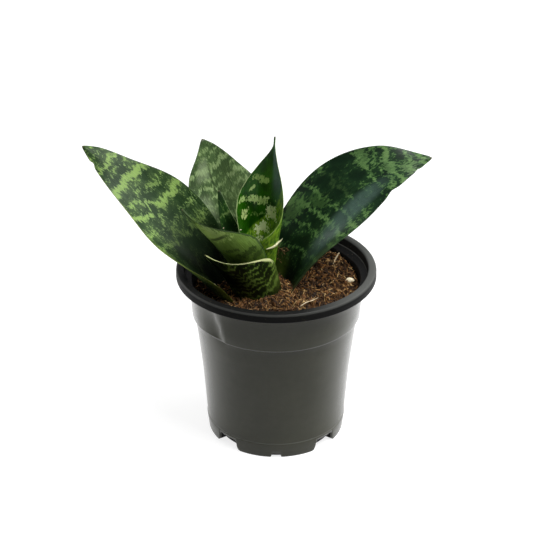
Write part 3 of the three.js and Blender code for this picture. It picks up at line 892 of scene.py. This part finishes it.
# %% Crowd the spin's steps
def foot_steps():
    """Places of the spin's steps from a gap's middle to the next nick's, as arc lengths."""
    eighth = BASE_RADIUS * math.pi / 4
    count = SPIN_STEPS // 8 - (len(GAP_STEPS) - 1) - (len(NICK_STEPS) - 1)
    first, last = GAP_STEPS[-1], eighth - NICK_STEPS[0]
    plain = [first + (last - first) * k / count for k in range(1, count)]
    return GAP_STEPS + plain + [eighth - place for place in NICK_STEPS]


def crowd(bm):
    """Moves the spin's steps together at the sides of the gaps and nicks."""
    places = foot_steps()
    quarter = SPIN_STEPS // 4
    for vert in bm.verts:
        radius = math.hypot(vert.co.x, vert.co.y)
        index = round(math.atan2(vert.co.y, vert.co.x) / (2 * math.pi) * SPIN_STEPS)
        from_gap = index % quarter - quarter // 2
        middle = (index - from_gap) * 2 * math.pi / SPIN_STEPS
        angle = middle + math.copysign(places[abs(from_gap)] / BASE_RADIUS, from_gap)
        vert.co.x, vert.co.y = radius * math.cos(angle), radius * math.sin(angle)


# %% Lift of the foot
def cut_height(cut, beside, wall=0.0):
    """Height of a gap or nick this far from its middle, or of its inside with a wall."""
    half, flare, height = cut["half"] + wall, cut["flare"], cut["height"] + wall
    corner = 0.2 * height
    outline = [(half - 1.2 * corner, height), (half - 0.4 * corner, height - 0.3 * corner),
               (half, height - corner), (half + 0.1 * flare, 0.4 * height),
               (half + 0.35 * flare, 0.12 * height), (half + flare, 0)]
    if beside <= outline[0][0]:
        return height
    for (a, high), (b, low) in zip(outline, outline[1:]):
        if beside <= b:
            return high + (low - high) * (beside - a) / (b - a)
    return 0.0


def foot_lift(x, y, inside):
    """How high the gaps and nicks lift the foot here."""
    radius = math.hypot(x, y)
    wall = WALL if inside else 0.0
    turn = math.degrees(math.atan2(y, x)) % 90
    lift = 0.0
    for cut, from_middle in ((GAP, abs(turn - 45)), (NICK, min(turn, 90 - turn))):
        if radius > cut["reach"] - wall and (cut is GAP or not inside):
            lift = max(lift, cut_height(cut, math.radians(from_middle) * BASE_RADIUS, wall))
    return lift


def on_inner_skin(radius, z):
    """Whether a point of the foot is on the pot's inside."""
    return z > FLOOR - 0.3 and radius < BASE_RADIUS and z > 10 * (radius - 37.2)


# %% Dent and drain holes
def dent(x, y, z):
    """How far the wall is pushed in, in millimetres, left of the front."""
    left = math.degrees(math.atan2(-x, -y))
    crease = 39.5 + 0.5 * (z - COLLAR_BASE)
    across = smoothstep(crease - 4, crease + 1, left) * (1 - smoothstep(crease + 1, 66, left))
    along = smoothstep(COLLAR_BASE - 2, COLLAR_BASE + 2, z) * (1 - smoothstep(82, 92, z))
    return DENT_DEPTH * across * along


def drain_hole(bm, angle):
    """A round hole through the roof of a gap."""
    middle = Vector((math.cos(angle), math.sin(angle))) * DRAIN_REACH * MM
    near = [f for f in bm.faces if f.calc_center_median().z < FOOT_TOP * MM
            and (f.calc_center_median().xy - middle).length < (DRAIN_RADIUS - 0.1) * MM]
    bmesh.ops.delete(bm, geom=near, context="FACES")
    rims = [e for e in bm.edges if e.is_boundary]
    for vert in {v for e in rims for v in e.verts}:
        away = (vert.co.xy - middle).normalized() * DRAIN_RADIUS * MM
        vert.co.xy = middle + away
    bmesh.ops.bridge_loops(bm, edges=rims)


# %% Spin a section
def spun_section(section, steps=SPIN_STEPS):
    """A closed section, drawn from the axis to the axis, turned once round +Z."""
    bm = bmesh.new()
    verts = [bm.verts.new((r * MM, 0, z * MM)) for r, z in section]
    edges = [bm.edges.new(pair) for pair in zip(verts, verts[1:])]
    bmesh.ops.spin(bm, geom=verts + edges, axis=(0, 0, 1), cent=(0, 0, 0),
                   angle=2 * math.pi, steps=steps, use_merge=True)
    bmesh.ops.remove_doubles(bm, verts=bm.verts, dist=2 * SEAM * MM)
    bmesh.ops.recalc_face_normals(bm, faces=bm.faces)
    return bm


# %% Spin, bevel and press the pot
SHARP = 0.35  # radians
BEVEL = 0.28
pot = spun_section(POT_SECTION)
crowd(pot)
corners = [e for e in pot.edges if e.is_manifold and e.calc_face_angle() > SHARP
           and abs(e.verts[0].co.z - e.verts[1].co.z) < 1e-6]
bmesh.ops.bevel(pot, geom=corners, offset=BEVEL * MM, segments=2, profile=0.5,
                affect="EDGES", material=-1, clamp_overlap=True)
for vert in pot.verts:
    x, y, z = vert.co / MM
    radius = math.hypot(x, y)
    if radius > 1:
        pushed = 1 - dent(x, y, z) / radius
        if z < FOOT_TOP:
            z = max(z, foot_lift(x, y, on_inner_skin(radius, z)))
        vert.co = Vector((x * pushed, y * pushed, z)) * MM
for k in range(4):
    drain_hole(pot, math.radians(45 + 90 * k))
bmesh.ops.recalc_face_normals(pot, faces=pot.faces)
print("pot:", len(pot.verts), "corner points,", len(corners), "bevelled edges")

# %% [markdown]
# ## Nursery-pot plastic
#
# The plastic is nearly black, but its satin skin picks up the room, so it reads as charcoal with
# pale sides. A fine grain breaks the gloss, the moulding leaves faint rings, and handling leaves
# dull smudges and a little dust from the mix near the rim.

# %% The grime group
grime, given, result = new_group(
    "handled_surface",
    [("Place", "NodeSocketVector", None), ("Size", "NodeSocketFloat", 40.0)],
    [(title, "NodeSocketFloat") for title in ("Smudge", "Grain", "Dust")],
)
scaled = grime.nodes.new("ShaderNodeVectorMath")
scaled.operation = "SCALE"
set_input(scaled, 0, given["Place"])
set_input(scaled, "Scale", given["Size"])
smudge = remap(cloud(scaled.outputs[0], 1.0, 4, 0.6), 0.35, 0.7)
specks = remap(cloud(scaled.outputs[0], 22.0), 0.62, 0.72)
grime.links.new(smudge, result["Smudge"])
grime.links.new(cloud(scaled.outputs[0], 45.0), result["Grain"])
grime.links.new(times(specks, smudge), result["Dust"])
print("grime group:", len(grime.nodes), "nodes")

# %% [markdown]
# The pot's masks go by height, by distance from the axis and by which way the wall faces. The
# rim, the inside and the hollow of the foot carry painted shade: they are darker, and duller. The
# rim's lip, the right of its top and three lines round the pot carry painted highlights: they
# are paler.

# %% Painted shade on the pot
RIM_ABOVE = (92.5, 94.5)
HOLLOW_BELOW = (9.5, 8.5)  # heights, in millimetres
HOLLOW_WITHIN = (37.5, 36.8)  # distances from the axis, in millimetres
FACING_IN = (-0.004, -0.015)  # the place and the wall's direction multiplied, in metres

plastic, tree, shader = new_material("charcoal_plastic")
where = object_place(tree)
marks = use_group(tree, grime, Place=where, Size=40.0)
east, north, level = separate(where)
facing = separate(tree.nodes.new("ShaderNodeNewGeometry").outputs["Normal"])
outward = muladd(east, facing[0], times(north, facing[1]))
inside = remap(outward, *FACING_IN)
spread = muladd(east, east, times(north, north))
spread = calc("SQRT", spread)
hollow = times(fade(level, HOLLOW_BELOW), fade(spread, HOLLOW_WITHIN))
# The mask of painted shade: the rim, the inside and the hollow of the foot.
dark = calc("MAXIMUM", fade(level, RIM_ABOVE), inside)
dark = calc("MAXIMUM", dark, hollow)

# %% Colour of the pot
FRESH = ((0.025, 0.026, 0.011), (0.034, 0.035, 0.018))  # clean and smudged
# painted shade for the rim, the inside and the hollow of the foot
UNLIT = (0.004, 0.0042, 0.004)
# Painted highlights: the lip, three edges round the pot and the right of the rim's top.
PAINTED_HIGHLIGHT = (0.2, 0.205, 0.19)
PAINTED_GLEAM = (0.12, 0.124, 0.116)
DUST = (0.1, 0.075, 0.05)
HIGHLIGHT_LINES = [(SKIRT_BOTTOM, 0.5, 0.5), (COLLAR_BASE, 0.55, 0.3), (FOOT_TOP, 0.5, 0.3)]
LIP_OUTSIDE = (53.7, 54.1)
LIP_ABOVE = (98.4, 99.2)
TOP_ABOVE = (99, 100)
RIGHT_OF = (10, 45)
DUSTY_ABOVE = (88, 99)

colour = blend(dark, blend(marks["Smudge"], *FRESH), UNLIT)
# painted highlights along the lip and along three edges round the pot
lip = times(fade(spread, LIP_OUTSIDE), fade(level, LIP_ABOVE))
colour = blend(times(lip, 0.2), colour, PAINTED_HIGHLIGHT)
for edge, reach, strength in HIGHLIGHT_LINES:
    away = calc("ABSOLUTE", calc("SUBTRACT", level, edge * MM))
    line = times(fade(away, (reach, 0.2 * reach)), strength)
    colour = blend(line, colour, PAINTED_HIGHLIGHT)
# painted highlight on the right of the rim's top
top_gleam = times(fade(level, TOP_ABOVE), fade(east, RIGHT_OF))
colour = blend(times(top_gleam, 0.55), colour, PAINTED_GLEAM)
dusty = muladd(fade(level, DUSTY_ABOVE), 0.2, 0.08)
dusty = times(marks["Dust"], muladd(inside, 0.6, dusty))
colour = blend(dusty, colour, DUST)

# %% Gloss and grain of the pot
SATIN = 0.4  # roughness of the clean wall
rough = muladd(marks["Smudge"], 0.07, SATIN)
rough = muladd(dark, 0.3, rough)
coat = calc("SUBTRACT", 1.0, times(dark, 0.9))
dress(shader, Base_Color=colour, Roughness=rough, Specular_IOR_Level=0.06,
      Coat_Weight=coat, Coat_Roughness=0.24)
rings = cloud(stretch(where, (6, 6, 900)), 1.0)
grainy = bump(shader, marks["Grain"], 0.05, 0.6)
bump(shader, rings, 0.05, 0.5, grainy)
add_piece("moulded_pot", pot, plastic, ["pot"])

# %% [markdown]
# ## Potting mix
#
# The mix is coarse coir and peat: a lumpy dark bed with a felt of fibres over it. The bed is
# spun like the pot and its top is pushed up and down. The fibres are a few bent strands made
# once, then copied about two thousand times, each one turned, sized and laid on the bed.

# %% Height of the bed
CROWN = (-8, 2)
BED_RADIUS = 45.4
BED_RINGS = 60
BED_STEPS = 180
BED_BOTTOM = 8.2


def soil_top(x, y):
    """Height of the mix in millimetres, without its finest crumbs."""
    to_crown = math.hypot(x - CROWN[0], y - CROWN[1])
    mound = 1.4 * (1 - smoothstep(12, 34, to_crown))
    bank = 6 * smoothstep(5, 42, y * 0.8 + x * 0.35)
    large = math.sin(x * 0.55 + 1.3 * math.sin(y * 0.31)) * math.cos(y * 0.6 + math.sin(x * 0.4))
    small = 0.6 * math.sin(x * 1.1 + y * 0.9)
    return SOIL_HEIGHT + mound + bank + 0.66 * (large + small)


def crumbled_top(x, y):
    """Height of the mix with its crumbs, which calm down at the wall."""
    rough = 1.1 * noise.noise(Vector((x, y, 3.0)) * 0.45)
    rough += 0.5 * noise.noise(Vector((x, y, 9.0)) * 1.3)
    calm = smoothstep(0, 3, BED_RADIUS - math.hypot(x, y))
    return soil_top(x, y) + rough * calm


# %% The bed
bed_section = [(r * BED_RADIUS / BED_RINGS, SOIL_HEIGHT) for r in range(BED_RINGS + 1)]
bed_section += [(45.1, 79), (42.9, COLLAR_BASE), (41, 54), (39.4, 40), (38, 22),
                (37.3, BED_BOTTOM), (0, BED_BOTTOM)]
bed = spun_section(bed_section, steps=BED_STEPS)
for vert in bed.verts:
    x, y, z = vert.co / MM
    radius = math.hypot(x, y)
    if radius > 1:
        pushed = 1 - dent(x, y, z) / radius
        x, y = x * pushed, y * pushed
    if z > SOIL_HEIGHT - 1:
        z = crumbled_top(x, y)
    vert.co = Vector((x, y, z)) * MM

# %% Peat with a felt of coir, and the bed's piece
PEAT = ((0.008, 0.004, 0.002), (0.06, 0.028, 0.009))
COIR = (0.2, 0.1, 0.034)
earth, tree, shader = new_material("coir_mix")
where = object_place(tree)
lumps = cloud(where, 420.0, 4, 0.7)
felt = cloud(stretch(where, (1, 0.35, 0.5)), 1900.0, 3, 0.7)
colour = blend(remap(lumps, 0.3, 0.7), *PEAT)
colour = blend(remap(felt, 0.55, 0.75), colour, COIR)
dress(shader, Base_Color=colour, Roughness=0.95, Specular_IOR_Level=0.2)
rough_bed = bump(shader, lumps, 1.2)
bump(shader, felt, 0.4, 1.0, rough_bed)
add_piece("coir_bed", bed, earth, ["potting_mix"])


# %% Strands and crumbs to copy
def slim_rod(segments, cuts):
    """A rod along +Z, one unit long and wide, with rings cut round it."""
    bm = bmesh.new()
    bmesh.ops.create_cone(bm, cap_ends=True, segments=segments, radius1=0.5, radius2=0.5,
                          depth=1)
    long_edges = [e for e in bm.edges if abs(e.verts[0].co.z - e.verts[1].co.z) > 0.5]
    bmesh.ops.subdivide_edges(bm, edges=long_edges, cuts=cuts, use_grid_fill=True)
    return bm


def bent_strand(width, curl, kink):
    """A tapered, bent fibre along +X, one unit long."""
    bm = slim_rod(4, 4)
    for vert in bm.verts:
        u = vert.co.z
        wide = width * (1 - 1.4 * abs(u) ** 1.5)
        side = curl * (u * u - 0.1) + kink * math.sin(5 * u)
        vert.co = Vector((u, side + vert.co.x * wide, vert.co.y * wide))
    bmesh.ops.recalc_face_normals(bm, faces=bm.faces)
    return bm


def crumb(stream):
    """A small angular lump."""
    bm = bmesh.new()
    bmesh.ops.create_icosphere(bm, subdivisions=1, radius=0.5)
    for vert in bm.verts:
        vert.co *= stream.uniform(0.65, 1.2)
    return bm


# %% Scatter copies over the bed
LITTER_RADIUS = 45.0
WALL_RADIUS = 45.2  # no point of a fibre goes further out than this
FIBRE_TILT = 0.25  # radians


def scatter(target, templates, count, size, lift, stream):
    """Copies templates over the bed; each point of a copy follows the bed's height."""
    holder = bpy.data.meshes.new("holder")
    for _ in range(count):
        radius = LITTER_RADIUS * math.sqrt(stream.random())
        angle = stream.uniform(0, 2 * math.pi)
        x, y = radius * math.cos(angle), radius * math.sin(angle)
        copy = stream.choice(templates).copy()
        grow = stream.uniform(*size)
        turn = (Matrix.Rotation(stream.uniform(0, 2 * math.pi), 4, "Z")
                @ Matrix.Rotation(stream.gauss(0, FIBRE_TILT), 4, "Y")
                @ Matrix.Rotation(stream.uniform(0, 2 * math.pi), 4, "X"))
        bmesh.ops.transform(copy, matrix=turn @ Matrix.Scale(grow, 4), verts=copy.verts)
        raised = stream.uniform(*lift)
        for vert in copy.verts:
            px, py = x + vert.co.x, y + vert.co.y
            inwards = min(1, WALL_RADIUS / math.hypot(px, py))
            px, py = px * inwards, py * inwards
            vert.co = Vector((px, py, crumbled_top(px, py) + raised + vert.co.z)) * MM
        copy.to_mesh(holder)
        copy.free()
        target.from_mesh(holder)
    bpy.data.meshes.remove(holder)


# %% Fibre material
# painted shade on the mix: in random patches and towards the front
PAINTED_SOIL_SHADE = (0.012, 0.006, 0.003)
SHADED_FRONT = (2, -22)  # millimetres along Y over which painted shade grows towards the front
SHADE_PATCHES = (0.56, 0.38)


def fibre_material(name, shades, scale=600.0, shadowed=0.0):
    """Two shades in streaks; shadowed ones get painted shade in random patches and towards the
    front.
    """
    material, tree, shader = new_material(name)
    where = object_place(tree)
    tone = cloud(where, scale, 2, 0.6)
    fine = cloud(where, scale * 6, 2, 0.6)
    hollow = times(remap(cloud(where, 300.0), *SHADE_PATCHES), shadowed)
    front = fade(separate(where)["Y"], SHADED_FRONT)
    soil_shade = calc("MAXIMUM", hollow, times(front, 0.55 * shadowed))
    colour = blend(soil_shade, blend(remap(tone, 0.3, 0.7), *shades), PAINTED_SOIL_SHADE)
    dress(shader, Base_Color=colour, Roughness=0.85, Specular_IOR_Level=0.3)
    bump(shader, fine, 0.15)
    return material


# %% Lay the fibres and crumbs
random_stream = random.Random(41)
STRANDS = [(0.09, 0.5, 0.02), (0.06, -0.9, 0.05), (0.12, 0.2, -0.04), (0.05, 1.3, 0.03),
           (0.08, 0.0, 0.09)]
strand_kinds = [bent_strand(*strand) for strand in STRANDS]
crumb_kinds = [crumb(random_stream) for _ in range(5)]

FIBRES = [  # piece, what is copied, how many, size, height over the bed, two shades
    ("dark_crumbs", crumb_kinds, 1300, (0.8, 2.6), (-0.4, 0.4),
     ((0.012, 0.006, 0.003), (0.05, 0.026, 0.011))),
    ("brown_fibres", strand_kinds, 1500, (3.0, 8.0), (0.0, 0.9),
     ((0.075, 0.032, 0.01), (0.44, 0.21, 0.062))),
    ("tan_fibres", strand_kinds, 520, (2.4, 6.0), (0.3, 1.3),
     ((0.32, 0.165, 0.055), (0.92, 0.62, 0.27))),
    ("bark_flakes", crumb_kinds, 420, (1.0, 2.8), (0.1, 0.8),
     ((0.05, 0.02, 0.007), (0.22, 0.1, 0.032))),
]
for name, kinds, count, size, lift, shades in FIBRES:
    litter = bmesh.new()
    scatter(litter, kinds, count, size, lift, random_stream)
    add_piece(name, litter, fibre_material(name + "_skin", shades, shadowed=0.75))

# %% [markdown]
# ## Loose bits on the mix
#
# One grain of perlite lies at the right, half sunk in the mix. It is a ball pushed about by
# noise, with pores in its material.

# %% Perlite grain
grain_low, grain_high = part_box("perlite_grain")
grain_middle = (grain_low + grain_high) / 2
grain_size = (grain_high - grain_low) / 2


def pebble(centre, size, seed, subdivisions=3):
    """A lumpy ball with this centre and these half sizes, in metres."""
    bm = bmesh.new()
    bmesh.ops.create_icosphere(bm, subdivisions=subdivisions, radius=1)
    for vert in bm.verts:
        lump = 0.9 + 0.16 * noise.noise(vert.co * 1.3 + Vector((seed, 0, 0)))
        lump += 0.07 * noise.noise(vert.co * 4.0 + Vector((0, seed, 0)))
        vert.co = centre + Vector(a * b * lump for a, b in zip(vert.co, size))
    return bm


chalk, tree, shader = new_material("perlite_skin")
where = object_place(tree)
pores = cloud(where, 2600.0, 3, 0.6)
tone = remap(cloud(where, 500.0), 0.35, 0.7)
colour = blend(tone, (0.95, 0.86, 0.62), (0.74, 0.62, 0.4))
colour = blend(remap(pores, 0.55, 0.7), colour, (0.4, 0.32, 0.22))
dress(shader, Base_Color=colour, Roughness=0.9)
bump(shader, pores, 0.3)
grain = pebble(grain_middle, grain_size, 2.0)
add_piece("perlite_lump", grain, chalk, ["perlite_grain"])

# %% [markdown]
# ## Straw, a root fibre and the dry sheath
#
# Thin things that follow a path are all one shape: a slim rod whose rings are moved along a curve
# through a few points. A straw-coloured splinter and a fine root lie on the mix. The dry edge of
# an old sheath bridges from the centre leaf to the right one, and bits of coir have caught in the
# crown under it. White specks of perlite have stuck to the leaves.


# %% A rod along a path
def rod_along(points, width, thickness, up=(0, 0, 1)):
    """A tapered six-sided rod through the points, in millimetres, wider than it is thick."""
    spots = [Vector(point) for point in points]

    def on_path(u):
        k = min(int(u * (len(spots) - 1)), len(spots) - 2)
        s = u * (len(spots) - 1) - k
        p0, p1, p2, p3 = (spots[min(max(k + n, 0), len(spots) - 1)] for n in (-1, 0, 1, 2))
        return 0.5 * (2 * p1 + (p2 - p0) * s + (2 * p0 - 5 * p1 + 4 * p2 - p3) * s * s
                      + (3 * p1 - p0 - 3 * p2 + p3) * s**3)

    bm = slim_rod(6, 14)
    for vert in bm.verts:
        u = vert.co.z + 0.5
        way = (on_path(min(u + 0.01, 1)) - on_path(max(u - 0.01, 0))).normalized()
        side = way.cross(Vector(up)).normalized()
        taper = 1 - 0.75 * abs(2 * u - 1) ** 3
        vert.co = (on_path(u) + side * vert.co.x * width * taper
                   + side.cross(way) * vert.co.y * thickness * taper) * MM
    bmesh.ops.recalc_face_normals(bm, faces=bm.faces)
    return bm


def join_meshes(parts):
    """One bmesh out of several."""
    holder = bpy.data.meshes.new("holder")
    whole = bmesh.new()
    for part in parts:
        part.to_mesh(holder)
        part.free()
        whole.from_mesh(holder)
    bpy.data.meshes.remove(holder)
    return whole


# %% Splinter, root and sheath
STRAW_PATH = [(31.8, 20.5, 89.9), (34.4, 26.4, 91.8), (36.6, 31.5, 92.6)]
ROOT_PATH = [(12.6, -24.1, 88), (16, -20.6, 88.4), (19, -19, 88.6), (22.5, -15.4, 88.4)]
SHEATH_PATH = [(-5.6, -9.4, 114.7), (-2.9, -8.2, 114.9), (-0.6, -6.6, 115.4), (0.7, -4.5, 115.9),
               (2.4, -0.5, 115.2), (3.6, 12.4, 110)]
straw = fibre_material("straw_skin", ((0.6, 0.46, 0.26), (0.86, 0.74, 0.52)))
straw_rods = [rod_along(STRAW_PATH, 0.9, 0.6), rod_along(ROOT_PATH, 0.5, 0.5)]
add_piece("straw_bits", join_meshes(straw_rods), straw)
dry = fibre_material("dry_sheath_skin", ((0.46, 0.46, 0.24), (0.78, 0.78, 0.5)), 900.0)
sheath = rod_along(SHEATH_PATH, 1.5, 0.4, up=(0.4, -0.9, 0.2))
add_piece("dry_sheath", sheath, dry)

# %% Bits caught in the crown
CAUGHT_ON = [  # leaf, then where along it and where across it
    ("centre_leaf", (0.33, 0.4), (-0.62, -0.3)),
    ("right_leaf", (0.17, 0.25), (0.4, 0.85)),
]
BITS_EACH = 26
STRAND_SHARE = 0.6
caught = []
for leaf, along_range, across_range in CAUGHT_ON:
    blade = Blade(LEAVES[leaf])
    for _ in range(BITS_EACH):
        t, v = random_stream.uniform(*along_range), random_stream.uniform(*across_range)
        spot, out = blade.at(t, v, 0.5 * blade.thickness(t, v) + 0.25)
        fibrous = random_stream.random() < STRAND_SHARE
        bit = random_stream.choice(strand_kinds if fibrous else crumb_kinds).copy()
        size = random_stream.uniform(*((1.6, 3.2) if fibrous else (0.5, 1.1)))
        lay = out.to_track_quat("Z", "Y").to_matrix().to_4x4()
        turn = Matrix.Rotation(random_stream.uniform(0, 2 * math.pi), 4, "Z")
        placing = Matrix.Translation(spot * MM) @ lay @ turn @ Matrix.Scale(size * MM, 4)
        bmesh.ops.transform(bit, matrix=placing, verts=bit.verts)
        caught.append(bit)
debris = fibre_material("caught_coir_skin", ((0.07, 0.035, 0.014), (0.3, 0.18, 0.08)))
add_piece("caught_coir", join_meshes(caught), debris)

# %% White specks
SPECKS = [("left_leaf", 0.2, 0.93, 0.55), ("young_leaf", 0.7, 0.8, 0.45),
          ("centre_leaf", 0.47, 0.9, 0.5)]
specks = []
for leaf, t, v, radius in SPECKS:
    blade = Blade(LEAVES[leaf])
    spot, _ = blade.at(t, v, 0.5 * blade.thickness(t, v) + 0.5 * radius)
    specks.append(pebble(spot * MM, Vector((1, 0.8, 0.9)) * radius * MM, t * 9, 2))
add_piece("white_specks", join_meshes(specks), chalk)

# %% [markdown]
# ## Rhizome
#
# The short stem and its roots are hidden in the mix. Their CAD shape stays, and gets the skin of
# a real rhizome: pale tan, ringed with old leaf scars and a little dirty.

# %% Skin of the rhizome and roots
bark, tree, shader = new_material("rhizome_skin")
where = object_place(tree)
scars = cloud(stretch(where, (60, 60, 700)), 1.0, 3, 0.6)
dirt = remap(cloud(where, 350.0, 4, 0.65), 0.5, 0.7)
colour = blend(remap(scars, 0.4, 0.6), (0.5, 0.33, 0.14), (0.32, 0.19, 0.08))
colour = blend(dirt, colour, (0.06, 0.035, 0.018))
dress(shader, Base_Color=colour, Roughness=0.8)
bump(shader, scars, 0.5)
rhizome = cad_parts["rhizome"]
rhizome.data.materials.clear()
rhizome.data.materials.append(bark)
print("rhizome: carried over with its own skin")

# %% [markdown]
# ## Floor and light
#
# The photograph is high key: white all round, lit softly from above, from both sides and from
# behind, while the camera's own side is darker. That light helps the rim read black, the pot's
# sides pale and the crown deep in shade; the rim, the crown and the front of the mix also carry
# painted shade. The floor stays white to the camera; to the plant it glows, dim in front and
# bright behind, as painted light that stands in for bounce and shows in the gloss. The world is
# white to the camera too; to the plant it is bright behind and dim in front. Three big soft lamps
# add the rest.

# %% Floor
FLOOR_GLOW = 0.8
BOUNCE = 0.7
MIRRORED = (0.18, 1.0)  # brightness that gloss picks up, in front and behind
BOUNCE_FROM = (-150, 250)
MIRRORED_FROM = (-90, 70)  # millimetres along Y over which each one grows
floor_mesh = bmesh.new()
bmesh.ops.create_grid(floor_mesh, x_segments=1, y_segments=1, size=4)
mesh = bpy.data.meshes.new("floor")
floor_mesh.to_mesh(mesh)
floor_mesh.free()
floor = bpy.data.objects.new("floor", mesh)
bpy.context.scene.collection.objects.link(floor)
paper, tree, shader = new_material("paper_floor")
away = separate(object_place(tree))["Y"]
bounce = times(fade(away, BOUNCE_FROM), BOUNCE)
gleam = remap(away, *(end * MM for end in MIRRORED_FROM), *MIRRORED)
path = tree.nodes.new("ShaderNodeLightPath").outputs
glow = blend(path["Is Glossy Ray"], bounce, gleam)
glow = calc("MAXIMUM", times(path["Is Camera Ray"], FLOOR_GLOW), glow)
dress(shader, Base_Color=(0.35, 0.35, 0.35, 1), Roughness=0.9, Specular_IOR_Level=0.1,
      Emission_Color=(1, 1, 1, 1), Emission_Strength=glow)
mesh.materials.append(paper)
print("floor:", len(mesh.polygons), "face")

# %% World
ROOM = (0.08, 0.8)  # brightness in front and behind
ROOM_FROM = (-0.1, 0.6)
world = bpy.data.worlds.new("studio")
bpy.context.scene.world = world
world.use_nodes = True
sky = world.node_tree
way = separate(sky.nodes.new("ShaderNodeTexCoord").outputs["Generated"])
room = remap(way["Y"], *ROOM_FROM, *ROOM)
seen = sky.nodes.new("ShaderNodeLightPath").outputs["Is Camera Ray"]
dress(sky.nodes["Background"], Color=(1, 1, 1, 1), Strength=calc("MAXIMUM", room, seen))


# %% Lamps
LAMP_AIM = Vector((0, 0, 90)) * MM
LAMPS = [  # name, place in metres, size in metres, power in watts
    ("top_lamp", (0.42, -0.26, 1.0), 0.6, 13.5),
    ("left_lamp", (-1.1, 0.35, 0.45), 0.8, 6),
    ("right_lamp", (1.0, 0.3, 0.75), 0.8, 8),
]
for name, place, size, power in LAMPS:
    data = bpy.data.lights.new(name, "AREA")
    data.size = size
    data.energy = power
    lamp = bpy.data.objects.new(name, data)
    lamp.location = place
    lamp.rotation_euler = (LAMP_AIM - Vector(place)).to_track_quat("-Z", "Y").to_euler()
    bpy.context.scene.collection.objects.link(lamp)
bpy.context.scene.view_settings.view_transform = "Standard"
print("lamps:", len(LAMPS))
